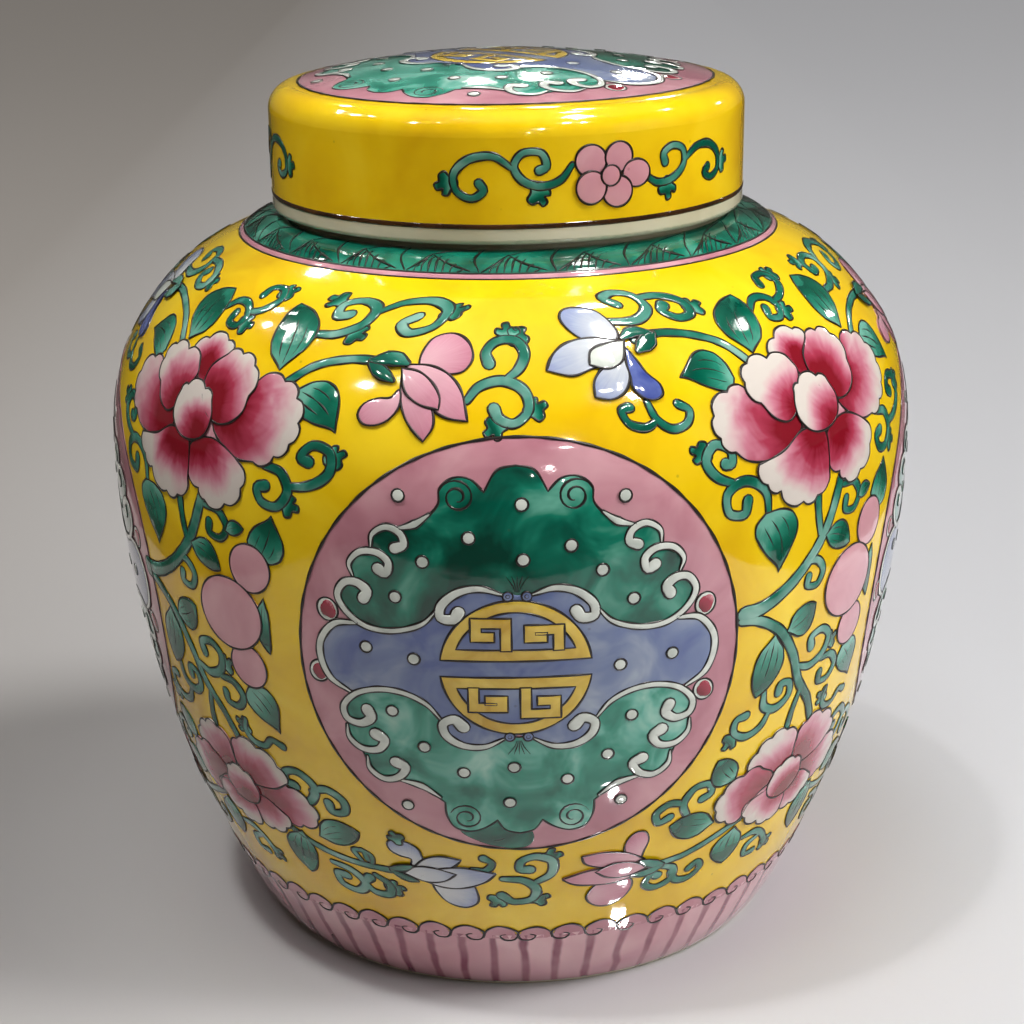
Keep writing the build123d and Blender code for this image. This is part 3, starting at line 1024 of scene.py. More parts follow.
# %% Scrolls of the upper half
# each scroll: its size, its places, and its forks
for size, places, *forks in (
    (
        1.0, [(-43, 186.5), (-36, 186.3), (-31.5, 189.5), (-32, 194), (-36, 195.3), (-39, 193.5),
        (-37.5, 191.5)],
    ),
    (
        1.0, [(-31.5, 192.8), (-26, 192.8), (-22, 190), (-22.3, 186.3), (-26, 185.5), (-28.5, 188),
        (-27, 189.8)], ((-22, 187.5), (-18, 188.5)),
    ),
    (
        1.0, [(-19.5, 136.5), (-20.5, 142), (-26, 145.2), (-31, 142.8), (-30.5, 138.3), (-26.5, 137.6),
        (-25.5, 140.5)],
    ),
    (
        1.0, [(-28.5, 145), (-33, 147), (-35.5, 151), (-32.5, 154.5), (-28.8, 152.5), (-29, 149.8),
        (-30.6, 149.8)], ((-35, 152), (-38.5, 155)),
    ),
    (0.8, [(-45, 166), (-44.5, 162), (-41.5, 159.3), (-37.5, 160.3), (-36, 163), (-38, 164.6)]),
    (0.8, [(-44.5, 161.5), (-47.5, 160.3), (-51, 161.5), (-51.5, 164.5), (-49.5, 165.2)]),
    (
        0.85, [(-6, 184), (-3, 186.7), (1, 186.6), (3.5, 183.5), (1.8, 180.5), (-1.4, 181), (-1, 183.5)],
        ((3, 182), (6.5, 181)),
    ),
    (
        0.85, [(2.5, 184.5), (7, 186), (9.8, 189.5), (8, 193), (4.2, 192.6), (3.4, 190)],
        ((8.5, 191.5), (12.5, 193.5)),
    ),
    (
        1.0, [(26, 182.3), (31.5, 182.8), (36, 186), (36, 190.5), (31.5, 192.8), (27.5, 191), (28.5, 187.8),
        (31, 188.2)], ((26.5, 191.5), (23, 193.5)), ((34.5, 184), (39, 181)),
    ),
    (
        1.0, [(36.3, 189), (41, 193), (47, 193.6), (52, 190.5), (52, 186), (47.5, 184), (44.5, 186.5),
        (46.5, 188.5)], ((52, 189.5), (57, 191.5)),
    ),
    (
        1.0, [(25.5, 150.5), (30, 149.5), (32.3, 145.5), (29.5, 141.3), (25, 142), (24, 145), (26.2, 145.8)],
        ((31, 142.5), (34.5, 140.8)),
    ),
    (
        1.0, [(32, 146.3), (38, 147.2), (42.3, 150.5), (41.8, 155), (37.2, 156.3), (35, 153.5), (37, 152.5)],
        ((41.5, 153.5), (45.5, 154.5)),
    ),
):  # fmt: skip
    scroll(spray, places, forks, size)

# %% Scrolls of the middle
for size, places, *forks in (
    (0.85, [(-7, 121), (-2.5, 121), (0.3, 117.8), (-1.5, 114.6), (-5.2, 115.2), (-5, 117.3)]),
    (0.85, [(6.5, 137.5), (11.5, 137), (14, 133.5), (11.8, 130.3), (7.8, 131), (8, 133.6)]),
):  # fmt: skip
    scroll(spray, places, forks, size)
leaf(spray, (13.5, 132.5), (19.5, 134.5), 3.6, 0.3)
for size, places, *forks in (
    (
        1.0, [(-4.5, 93.5), (0.5, 92.2), (5.5, 94.5), (6.6, 98.8), (3, 101.3), (-0.8, 100), (-0.3, 97.5)],
        ((6.5, 96), (11, 97.5)),
    ),
    (0.9, [(5, 92.5), (9.5, 92.3), (12.2, 89), (10, 85.7), (5.8, 86), (5.6, 88.4)]),
    (1.0, [(-15, 89.5), (-14.2, 85.3), (-10, 83.5), (-6, 86), (-6.6, 89.6), (-9.6, 90), (-9.8, 88)]),
    (
        0.9, [(-11.8, 83.5), (-14.2, 79.3), (-18.5, 78), (-22.3, 80.3), (-22.3, 83.6), (-19.6, 84.2)],
        ((-21.5, 79), (-24.8, 76.5)),
    ),
    (
        0.8, [(11, 82.3), (10, 79), (12, 76.4), (16, 76.2), (18.8, 78.6), (22, 77.6)],
        ((11, 79), (8.3, 81.5)),
    ),
):  # fmt: skip
    scroll(spray, places, forks, size)

# %% Scrolls of the lower half
for size, places, *forks in (
    (0.9, [(-30, 57.5), (-32.2, 62), (-30, 66.2), (-26, 66.3), (-24.8, 63.3), (-27, 62.2)]),
    (0.9, [(-32, 62), (-36, 63), (-39.2, 60.5), (-37.8, 57.6), (-35.2, 58.6)]),
    (
        0.9, [(-33.5, 42.5), (-29, 40.5), (-28.4, 36.8), (-32, 34.8), (-35.6, 36.8), (-34.8, 39.8),
        (-32.8, 39)],
    ),
    (0.9, [(-29.5, 39.5), (-26.8, 35.8), (-22.6, 35.2), (-20.3, 38), (-22, 40.3), (-23.6, 38.8)]),
    (0.9, [(-8, 43), (-3.5, 43.2), (0.5, 40.5), (2.8, 37)], ((2, 38), (5, 34.5))),
    (0.8, [(-1.5, 41), (-5, 39), (-4.6, 35.8), (-1.2, 35.6)]),
    (1.05, [(21.5, 60), (26, 62.5), (28.2, 67), (24.8, 70.6), (20.2, 69.6), (20, 66.6), (22.2, 66)]),
    (1.0, [(27, 65.5), (31.5, 67.2), (35.4, 64.6), (34.8, 61), (31.2, 60.4), (31, 62.9)]),
    (1.05, [(24.5, 42), (29.5, 40.6), (31.8, 36.6), (28.6, 33.4), (24.4, 34.8), (24.6, 38.2), (27, 38.2)]),
    (
        1.0, [(36, 40.6), (38.6, 38), (37.6, 34.4), (33.6, 34.2), (32, 37.2), (34, 39.4)],
        ((38, 37), (42, 36.5)),
    ),
    (0.6, [(34, 44.8), (33, 48.4), (35.4, 48.6), (35.8, 46)]),
    (0.55, [(36.5, 44.4), (37.2, 47.6), (35.2, 48.8)]),
):  # fmt: skip
    scroll(spray, places, forks, size)
print("spray:", len(spray.patches), "patches,", len(spray.strokes), "strokes")

# %% [markdown]
# ## The roundel
# Each roundel is a pink disc with two green clouds and a violet band between them, all edged with
# white scrolls, and a gold fret in the middle. The two halves of a roundel mirror each other, so most
# shapes are given for the right side only. The fret is a plain running key in two half discs.

# %% The disc, the clouds and the band
ROUNDEL = 52.3  # radius of the disc
MIDDLE_LINE = -0.5  # what is drawn on the disc mirrors about this x
roundel = Drawing()
rim = ring((0, 0), ROUNDEL, 53.0)
roundel.patch("pink", 0, rim[::2], ink=0)
roundel.line(rim, 0.32, 2, closed=True)


def both_sides(right):
    """A closed outline of the runs of a right half and their mirror images, with sharp points between."""
    return joined(*right, *[mirrored(run, MIDDLE_LINE) for run in reversed(right)])


CLOUD_TOP = [
    [(-0.5, 46.8), (3.5, 45.8), (6.5, 41.0)],
    [(6.5, 41.0), (9.5, 43.8), (13.2, 44), (16.3, 41.5), (16.5, 38.3), (19, 35.3), (22.5, 33.3), (25, 32.4)],
    [(25, 32.4), (29.5, 32), (32, 29.5), (32, 27.3)],
    [(32, 27.3), (36, 26), (37.5, 23), (37, 19.8)],
    [(37, 19.8), (40.3, 17.6), (40.6, 14), (39, 10.6)],
    [(39, 10.6), (34.5, 8), (29.5, 7.3), (23.5, 8.8), (18.5, 12)],
    [(18.5, 12), (17, 14.5), (13, 18), (8.5, 18.6), (3.2, 17.2), (-0.5, 16.8)],
]
roundel.patch("jade", 1, both_sides(CLOUD_TOP))

CLOUD_FOOT = [
    [(-0.5, -19.4), (2, -19.2), (7.5, -22), (12.5, -21.6), (16, -19.5), (17, -15.4)],
    [(17, -15.4), (20.5, -11), (25.5, -8.6), (31.5, -8.2), (37, -10), (40.5, -14)],
    [(40.5, -14), (39.8, -17.5), (40.2, -21.5), (37, -25.3)],
    [(37, -25.3), (35.4, -29), (33.8, -32), (30.5, -33.6), (26, -33.4), (21, -35.6), (17, -38.8)],
    [(17, -38.8), (16.6, -43), (14.8, -46.4), (11, -47.4), (7.5, -46), (4.8, -43.8)],
    [(4.8, -43.8), (2.8, -46.8), (-0.5, -47.8)],
]
roundel.patch("pale_jade", 1, both_sides(CLOUD_FOOT))

BAND = [
    (-0.5, 17.2), (5, 18), (11, 18.4), (15.5, 15.5), (19, 11), (24.5, 7.6), (30, 6.8), (36, 8.3),
    (41.5, 7.6), (45.2, 3.2), (45.6, -1.2), (43.8, -6), (39.5, -8.8), (36, -9.6), (31.5, -8.4),
    (25.5, -8.9), (20.5, -11.4), (17.2, -15.6), (15.5, -19.4), (11, -22), (6, -21.6), (-0.5, -18.6),
]  # fmt: skip
roundel.patch("blue", 2, smooth([*BAND, *mirrored(BAND, MIDDLE_LINE)], closed=True), ink=0)

# %% White scrolls round the clouds and the band
# each pull of white: its places, and its half widths spread along it
WHITE_SCROLLS = (
    # from the antennae out over the band, and curled in at the waist
    (
        [(2.8, 17.4), (8, 18.8), (13, 17.6), (16.6, 14.2), (16.6, 11.6), (13.8, 11.3), (12.6, 13)],
        (0.3, 0.8, 1.0, 1.2, 1.3, 1.7),
    ),
    # under the upper cloud to its lowest lobe
    (
        [(17.6, 13.2), (20.5, 10), (24.5, 8.2), (29.5, 7.4), (34.5, 8.2), (39, 11.4), (40.8, 15.2),
        (38.8, 18.4), (35.8, 18.6), (33.6, 16.8), (34.4, 15)], (0.3, 0.7, 0.75, 0.8, 0.9, 1.1, 1.7),
    ),
    (
        [(36.8, 20.2), (37.6, 23), (35, 26), (30.6, 26.2), (28.2, 24), (29, 21.6), (30.6, 22.4)],
        (0.3, 0.7, 0.9, 1.0, 1.1, 1.7),
    ),
    (
        [(32.2, 27.6), (31.8, 30.4), (28.4, 32.4), (25.2, 31), (24.6, 28.6), (26.6, 27.6)],
        (0.3, 0.7, 0.9, 1.0, 1.5),
    ),
    ([(26, 32.2), (22, 33.4), (18.6, 35.8)], (0.3, 1.0, 0.3)),
    # round the end of the band
    (
        [(36.5, 8.6), (41.8, 7.8), (45.6, 3.2), (46, -1.4), (43.8, -6.6), (39, -9.6)],
        (0.5, 0.9, 1.0, 1.0, 0.9, 0.4),
    ),
    # over the lower cloud
    (
        [(3, -19.8), (7.5, -22), (12.6, -21.7), (16.3, -19), (16.8, -16), (14.2, -14.7), (12.2, -16.6)],
        (0.3, 0.8, 1.0, 1.2, 1.3, 1.8),
    ),
    (
        [(17.2, -15), (20.5, -11), (25.5, -8.5), (31.5, -8), (37.5, -10), (40.8, -14), (40, -17.2),
        (36.4, -18), (34, -16), (34.8, -14)], (0.3, 0.7, 0.8, 0.8, 0.9, 1.1, 1.8),
    ),
    (
        [(40.2, -19), (39.8, -22.5), (36.5, -25.2), (32.4, -24.7), (31, -22), (33, -20.6)],
        (0.3, 0.8, 1.0, 1.2, 1.9),
    ),
    (
        [(35.5, -27.3), (35, -30.8), (31.4, -33.3), (27.6, -32), (26.2, -29.2), (28.4, -28)],
        (0.3, 0.8, 1.0, 1.2, 1.8),
    ),
    ([(28, -33), (22.4, -34.3), (18, -37.3)], (0.3, 1.0, 0.3)),
)  # fmt: skip
for places, widths in WHITE_SCROLLS:
    for side in (places, [(2 * MIDDLE_LINE - x, y) for x, y in places]):
        roundel.ribbon("white", 3, side, [0.86 * w for w in widths], ink=0.26)
for x, y in ((12.4, 39.8), (12, -43.2)):
    roundel.line(coil((x, y), 4.0, 1.7, 20, 1), 0.3, 1)
    roundel.line(coil((2 * MIDDLE_LINE - x, y), 4.0, 1.7, 160, -1), 0.3, 1)

# %% Dots, beads and antennae
DOTS = [
    (-26.5, 39.7), (23.7, 39), (0.7, 38.2), (-11, 30.7), (11.5, 28.6), (0.9, 25.6), (-21.4, 24.8),
    (18.5, 22.4), (-27.9, 16), (25.7, 14.8), (-35.3, 2.8), (-24.1, 0.8), (22.7, -1.5), (35.2, -0.3),
    (-29.7, -13.5), (25.6, -15.3), (-22.4, -22.8), (20, -25.5), (-13.3, -29.5), (-1.7, -27.8),
    (10.6, -31.7), (-2.8, -38.2), (-27, -40.5), (23.4, -39.5),
]  # fmt: skip
DOT = 1.45
for x, y in DOTS:
    roundel.patch("white", 4, ring((x, y), DOT, step=0.75), ink=0.24)
for x, y, turn in ((-44.6, 11, 20), (-47.6, -5.4, -20), (43.4, 10.8, -20), (43.6, -11.7, 20)):
    roundel.patch("white", 1, ring((x, y), 2.6, 2.9, turn), ink=0.24)
    roundel.patch("ruby", 2, ring((x + 0.2, y), 1.7, 2.0, turn, lobes=3, depth=0.2, step=0.7), ink=0)
for y, way in ((17.0, 1), (-19.2, -1)):
    for x in (-2.6, 1.6):
        roundel.patch("blue", 4, ring((x, y), 1.15, step=0.7), ink=0.2)
        roundel.line(ring((x, y), 0.45, step=0.5), 0.16, 4, closed=True)
    for lean in (-1.7, -0.8, 0, 0.8, 1.7):
        hair = [(MIDDLE_LINE + s * lean, y + up * way) for s, up in ((0.3, 1), (0.6, 2.6), (1.5, 4.8))]
        roundel.line(smooth(hair), 0.17, 4, ends=0.3)

# %% [markdown]
# ### The gold fret
# Each half of the fret is a gold half disc with a smaller blue one sunk in it, and two square hooks
# that stand on the bar. The lower half is the upper one turned half round, so the key runs on.

# %% The gold fret in the middle
FRET = 17.2  # radius
GAP = 2.1  # half of the gap between the two halves
BAR = 2.9  # width of the gold bars


def half_disc(radius, foot):
    """An upper half disc that is cut off level at foot."""
    edge = math.asin(foot / radius)
    turn = np.linspace(edge, math.pi - edge, 36)
    arc = np.column_stack([radius * np.cos(turn), radius * np.sin(turn)])
    base = np.linspace(arc[-1], arc[0], 20)[1:-1]
    return np.vstack([arc, base])


def key_hook(foot, height, across, back, drop, w=2.5):
    """A square hook: up from the bar, across, down and back in, as the outline of a gold bar w wide."""
    x, y = foot
    way = math.copysign(1, across)
    far, end, inside = x + across, x + across - back * way, x + across - w * way
    corners = [
        (x, y), (x, height), (far, height), (far, drop), (end, drop), (end, drop + w), (inside, drop + w),
        (inside, height - w), (x + w * way, height - w), (x + w * way, y),
    ]  # fmt: skip
    runs = zip(corners, corners[1:])
    sides = [np.linspace(a, b, max(2, round(math.dist(a, b) / STEP)))[:-1] for a, b in runs]
    return np.vstack([*sides, corners[-1:]])


fret = Drawing()
fret.patch("gold", 3, half_disc(FRET, GAP), ink=0.28)
fret.patch("blue", 4, half_disc(FRET - BAR, GAP + BAR), ink=0.24)
fret.patch("gold", 5, key_hook((-0.9, GAP + BAR - 0.3), 12.9, -9.2, 5.4, 7.0), ink=0.24)
fret.patch("gold", 5, key_hook((10.9, GAP + BAR - 0.3), 11.2, -9.0, 5.2, 6.8), ink=0.24)
for turn in (0, 180):
    roundel.add(fret, at=(-1.0, -1.2), turn=turn)
print("roundel:", len(roundel.patches), "patches,", len(roundel.strokes), "strokes")

# %% [markdown]
# ## Scrolls between the sprays, above and below each roundel

# %% Scrolls over and under a roundel
ROUNDEL_AT = (1.4, 107.0)  # its middle on the side of the jar
front = Drawing().add(roundel, at=ROUNDEL_AT)
for size, places, *forks in (
    (
        1.0, [(-9.6, 168), (-6.5, 171.5), (-1, 172.6), (3.3, 169.8), (3.8, 165.6), (0.8, 162.9),
        (-2.6, 164), (-3.6, 166.2)], ((3.8, 165.5), (8, 166.5)), ((-1.8, 162.5), (-5.5, 161.2)),
    ),
    (
        1.0, [(-0.8, 173), (2, 175.6), (3.2, 179.3), (1.2, 182.6), (-3, 182.4), (-5.2, 179.6),
        (-4.6, 176.8)], ((0.5, 182.5), (3.5, 185.5)), ((-0.5, 183), (-0.2, 187)),
    ),
    (
        1.0, [(-3.5, 43.6), (1.5, 43), (4.6, 39.8), (3.4, 36.2), (-1, 35.4), (-3.8, 37.6)],
        ((3.5, 36), (8, 36.6)), ((-3.5, 37), (-6.8, 33.8)),
    ),
    (
        1.0, [(4.4, 42.2), (8.2, 45.2), (8.4, 49.4), (4.6, 51.2), (1, 49.6), (0.8, 47), (3, 46.8)],
        ((6.5, 50.8), (11.5, 51)),
    ),
    (0.8, [(-10.8, 46.8), (-7.6, 46.4), (-6, 49), (-8, 50.6)]),
):  # fmt: skip
    scroll(front, places, forks, size)

# %% [markdown]
# ## The lid's scrolls
# Round the side of the lid run three small branches, each with a five-petalled flower.

# %% One branch for the side of the lid
branch = Drawing()
for size, places, *forks in (
    (
        0.76, [(-9.5, 3), (-12.5, -0.5), (-17, -1.6), (-21, -0.2), (-23, 3), (-21, 6), (-16.6, 5.8),
        (-15.6, 2.8), (-17.2, 2)], ((-18, -2), (-16.5, -6.5)),
    ),
    (
        0.76, [(-23.4, 2.6), (-27.5, 5.3), (-33, 4.8), (-36.8, 1.4), (-36.2, -2.6), (-32.6, -4.2),
        (-30, -2.4), (-31, -0.8)], ((-37, -0.8), (-42.5, -1)),
    ),
    (
        0.76, [(9, -0.5), (12.5, -2.8), (17.5, -2.4), (21.2, 0.6), (20.8, 4), (17.4, 5.2), (14.6, 3.6),
        (15, 1.6)], ((16, -2.8), (15.5, -7.2)),
    ),
    (
        0.76, [(21.4, 1.4), (25.8, 4), (31, 4), (35, 1.2), (35, -2.6), (31.6, -4), (29.2, -2.6),
        (30.6, -1.4)], ((35.6, -0.8), (41, -1.6)),
    ),
):  # fmt: skip
    scroll(branch, places, forks, size)
PETALS = (
    (-5, 3.6, 3.8, 3.7), (2, 4.1, 3.5, 3.5), (6.6, 0, 3.7, 3.2), (1.6, -3.8, 3.8, 3.6), (-5, -2.5, 3.7, 3.8),
)  # fmt: skip
for k, (x, y, across, up) in enumerate(PETALS):
    branch.patch("peach", 1 + k, ring((x, y), across, up), ink=0.28)
branch.patch("peach", 6, ring((-0.2, 0), 2.4), ink=0.26)

# %% [markdown]
# ## Bands round the pots
# The collar, the foot border and the lines round the lid run all the way round. Each is a short
# section that follows the side of the pot, spun once about the axis.

# %% Spin a band of enamel
ROUND = 240  # steps of a full turn


def band(name, side, low, high, top, enamel, body, step=1.2, edge=0.35):
    """A closed ring of enamel on the side of a pot between two places up its side."""
    count = max(2, round((high - low) / step))
    alongs = [low, *np.linspace(low + edge, high - edge, count), high]
    lifts = [top * 0.35, *[top] * count, top * 0.35]
    bm = bmesh.new()
    mark = bm.verts.layers.float_vector.new("brush")
    loop = []
    for s, lift in [*zip(alongs, lifts), (high, BURIED), (low, BURIED)]:
        radius, height, out, up = (float(v) for v in side.at(s))
        vert = bm.verts.new(((radius + lift * out) * MM, 0, (height + lift * up) * MM))
        vert[mark] = ((s - low) / (high - low), 0, 0.5)
        loop.append(vert)
    edges = [bm.edges.new((a, b)) for a, b in zip(loop, loop[1:] + loop[:1])]
    turn = {"cent": (0, 0, 0), "axis": (0, 0, 1), "angle": 2 * math.pi}
    bmesh.ops.spin(bm, geom=loop + edges, steps=ROUND, use_merge=True, **turn)
    bmesh.ops.recalc_face_normals(bm, faces=bm.faces)
    mesh = bpy.data.meshes.new(name)
    bm.to_mesh(mesh)
    bm.free()
    mesh.polygons.foreach_set("use_smooth", [True] * len(mesh.polygons))
    finish_piece(name, mesh, enamel, body)


def striped(name, slot, count):
    """Pink enamel with soft upright strokes of purple for the foot border, with painted shade low down."""
    material, tree, shader, surface, place = glass_base(name, 45.0)
    colour = ramp(tree, surface.outputs["Wash"], [(0.3, 200, 142, 152), (0.7, 226, 182, 186)])
    x, y, height = add_node(tree, "ShaderNodeSeparateXYZ", {0: place}).outputs
    bearing = math_node(tree, "ARCTAN2", x, math_node(tree, "MULTIPLY", y, -1.0))
    sway = math_node(tree, "MULTIPLY_ADD", surface.outputs["Wash"], 0.05, bearing)
    cell = math_node(tree, "MULTIPLY_ADD", sway, count / (2 * math.pi), 0.5)
    stroke = fade(tree, math_node(tree, "PINGPONG", cell, 0.5), 0.06, 0.19, 1.0, 0.0, smooth_steps=True)
    strength = math_node(tree, "MULTIPLY_ADD", surface.outputs["Ripple"], 1.0, 0.3, clamp=True)
    mask = math_node(tree, "MULTIPLY", stroke, strength)
    # painted shade: the pink darkens to a dull mauve over the lowest 12 mm of the jar
    foot_painted_shade = fade(tree, height, 0.0, 0.012, 0.45, 0.0)
    colour = blend_colours(tree, foot_painted_shade, colour, paint(168, 104, 122))
    tree.links.new(blend_colours(tree, mask, colour, paint(128, 52, 78)), shader.inputs["Base Color"])
    ENAMELS[name] = (material, slot)


SCALLOPS = 60
striped("stripe", "pink_enamel", SCALLOPS)
washed("brown", "ink_line", [(0.3, 40, 22, 10), (0.7, 82, 50, 22)], 90.0, 0.0)

# where the bands lie, in millimetres up the side from the foot
BORDER_TOP = 22.4
PINK_LINE = 202.5
COLLAR_FOOT = 204.0
COLLAR_TOP = body_side.length - 0.2
LIP_LINE = LIP_TOP - LID_AIM  # up the side of the lid
band("foot_border", body_side, 0.4, BORDER_TOP, rise(0), "stripe", "jar")
band("collar_pink_line", body_side, PINK_LINE, COLLAR_FOOT, rise(0), "pink", "jar", edge=0.2)
band("collar_green", body_side, COLLAR_FOOT - 0.1, COLLAR_TOP, rise(0) - 0.02, "jade", "jar", edge=0.3)
for name, low, high in (
    ("low", PINK_LINE - 0.4, PINK_LINE + 0.1),
    ("high", COLLAR_FOOT - 0.3, COLLAR_FOOT + 0.3),
):
    band(f"collar_ink_{name}", body_side, low, high, rise(1), "ink", "jar", step=0.3, edge=0.15)
band("lid_brown_line", lid_side, LIP_LINE - 0.2, LIP_LINE + 1.0, rise(0), "brown", "cap", step=0.5, edge=0.25)

# %% [markdown]
# The foot border ends at its top in a row of scallops, each an ink arch that curls in at one end. They
# face the middle of the front from both sides, as the painter worked round the jar from there.

# %% Scallops on the foot border and waves on the collar
SCALLOP_FOOT = 21.0
scallop_radius = float(body_side.at(SCALLOP_FOOT)[0])
pitch = 2 * math.pi * scallop_radius / SCALLOPS
scallops = Drawing()
wobble = random.Random(3)
for k in range(SCALLOPS // 2):
    x = (k - SCALLOPS // 4 + 0.5) * pitch
    tall = 4.6 + wobble.uniform(-0.4, 0.4)
    way = 1 if k < SCALLOPS // 4 else -1
    half = pitch / 2
    arch = [(-half, 0), (-half * 0.85, tall * 0.6), (-half * 0.2, tall), (half * 0.6, tall * 0.8), (half, 0)]
    arch = [(x + way * a, SCALLOP_FOOT + b) for a, b in arch]
    base = np.linspace(arch[-1], arch[0], 8)[1:-1] - (0, 0.5)
    scallops.patch("pink", 0, np.vstack([smooth(arch), base]), ink=0)
    curl = [(1, tall * 0.45), (0.8, -0.6), (0.2, -0.7), (-0.05, 0.9), (0.3, 1.5)]
    curl = [(x + way * half * a, SCALLOP_FOOT + b) for a, b in curl]
    scallops.line(smooth([*arch[:4], *curl]), 0.3, 1, ends=0.5)

WAVES = 24
collar_radius = float(body_side.at(COLLAR_FOOT)[0])
wave = 2 * math.pi * collar_radius / WAVES
waves = Drawing()
for k in range(WAVES // 2):
    x = (k - WAVES // 4) * wave
    foot, top = COLLAR_FOOT + 0.4, COLLAR_FOOT + 10.4
    waves.line(smooth([(x - wave * 0.35, foot), (x - wave * 0.12, foot + 3.5), (x, top - 3.6)]), 0.32, 1)
    waves.line(smooth([(x, top - 3.6), (x + wave * 0.16, foot + 3.2), (x + wave * 0.5, foot + 0.3)]), 0.32, 1)
    waves.line(smooth([(x + wave * 0.62, foot), (x + wave * 0.56, foot + 4), (x + wave * 0.68, top)]), 0.3, 1)
    waves.line(smooth([(x, top - 3.6), (x + wave * 0.25, top - 1.4), (x + wave * 0.6, top)]), 0.28, 1)
    for n in range(7):
        share = (n + 0.5) / 7
        low = x + wave * (-0.3 + 0.68 * share)
        height = (top - 3.8 - foot) * (1 - abs(2 * share - 0.9) ** 1.3)
        hair = [(low, foot), (low + 0.5, foot + height * 0.6), (low + 1.6, foot + max(height, 0.8))]
        waves.line(smooth(hair), 0.3, 1)

# %% [markdown]
# ## Firing everything on
# Each flat drawing is turned into meshes once. It is then wrapped on to the jar at every bearing where
# it belongs, with its own small drift, and on to the lid.

# %% Wrap all the drawings
def fire_round(drawing, place, side, body, bearings, drift=False):
    """Fires one drawing at each bearing, with a drift of its own at each but the first where asked."""
    meshes = flat_meshes(drawing)
    for copy, (name, bearing) in enumerate(bearings.items()):
        fire(meshes, f"{place}_{name}", around(side, bearing, copy if drift else 0), body)


SPRAYS = {"right": 45, "back_right": 135, "back_left": 225, "left": 312.7}
fire_round(spray, "spray", body_side, "jar", SPRAYS, drift=True)
ROUNDELS = {"front": 0, "right": 90, "back": 180, "left": 270}
fire_round(front, "roundel", body_side, "jar", ROUNDELS, drift=True)

# a run of green that the painter let slip below the front clouds
DRIP = [
    (-14, 64), (-14, 61.5), (-12.8, 58.8), (-10, 56.8), (-6.5, 55.2), (-3, 54.4), (0.5, 54.2), (3, 55),
    (4.2, 57), (3.6, 60), (1, 63), (-4, 65), (-9, 65.4),
]  # fmt: skip
drip = Drawing()
drip.patch("jade", 0.5, smooth(DRIP, closed=True), ink=0)
fire(flat_meshes(drip), "drip", around(body_side, 0), "jar")

for side_name, bearing in (("front", 0), ("back", 180)):
    fire(flat_meshes(scallops), f"scallops_{side_name}", around(body_side, bearing), "jar")
    fire(flat_meshes(waves), f"collar_{side_name}", around(body_side, bearing), "jar")

fire(flat_meshes(Drawing().add(roundel, turn=-40)), "lid_roundel", over(lid_side), "cap")
lid_branch = Drawing().add(branch, at=(0, 13.6))
fire_round(lid_branch, "lid_branch", lid_side, "cap", {"front": 23.4, "right": 143.4, "left": 263.4})

triangles = {o.name: sum(len(p.vertices) - 2 for p in o.data.polygons) for o in made_pieces}
most = max(triangles, key=triangles.get)
print(len(made_pieces), "pieces,", sum(triangles.values()), "triangles, most in", most)

# %% [markdown]
# ## Floor, light and camera
# The jar stands on a pale floor whose colour is painted darker and warmer to the left, as painted shade.
# A low sun, a soft light from above, a weak one from the right and a narrow spot on the left shoulder
# light it. Glaze also mirrors what lies round it, so a dark room, a dim ceiling and many small lamps
# are there for the reflections alone.

# %% Sheets for the floor and the reflections
def sheet(name, bm):
    """A sheet that belongs to the stage, with the nodes of its material and their shader."""
    mesh = bpy.data.meshes.new(name)
    bm.to_mesh(mesh)
    bm.free()
    made = bpy.data.objects.new(name, mesh)
    scene.collection.objects.link(made)
    material = bpy.data.materials.new(name.replace("_", " "))
    material.use_nodes = True
    mesh.materials.append(material)
    return made, material.node_tree, material.node_tree.nodes["Principled BSDF"]


def only_reflected(made):
    made.visible_camera = False
    made.visible_diffuse = False
    made.visible_shadow = False


def disc(radius, segments):
    bm = bmesh.new()
    bmesh.ops.create_circle(bm, cap_ends=True, segments=segments, radius=radius)
    return bm


# %% Floor
floor, floor_tree, floor_shader = sheet("floor", disc(6.0, 96))
floor_place = add_node(floor_tree, "ShaderNodeTexCoord").outputs["Object"]
floor_x = add_node(floor_tree, "ShaderNodeSeparateXYZ", {0: floor_place}).outputs[0]
# painted shade: the floor's colour runs from a darker warm grey on the left to a pale grey on the right
floor_painted_shade_share = fade(floor_tree, floor_x, -0.32, 0.16)
floor_colour_with_painted_shade = ramp(floor_tree, floor_painted_shade_share, [(0, 156, 150, 144), (1, 201, 201, 204)])
floor_tree.links.new(floor_colour_with_painted_shade, floor_shader.inputs["Base Color"])
floor_shader.inputs["Roughness"].default_value = 0.7

# %% Dark room beyond the table
TABLE_HALF = 0.31
TABLE_FRONT = -0.38
ROOM = 5.0
CLEAR = 0.001  # above the floor, so that the two don't share a plane
bm = bmesh.new()
for x_from, x_to, y_from, y_to in (
    (-ROOM, -TABLE_HALF, -ROOM, ROOM),
    (TABLE_HALF, ROOM, -ROOM, ROOM),
    (-TABLE_HALF, TABLE_HALF, -ROOM, TABLE_FRONT),
):
    corners = [(x_from, y_from, CLEAR), (x_to, y_from, CLEAR), (x_to, y_to, CLEAR), (x_from, y_to, CLEAR)]
    bm.faces.new([bm.verts.new(corner) for corner in corners])
dark_room, _, room_shader = sheet("dark_room", bm)
room_shader.inputs["Base Color"].default_value = paint(40, 34, 26)
room_shader.inputs["Roughness"].default_value = 1.0
only_reflected(dark_room)

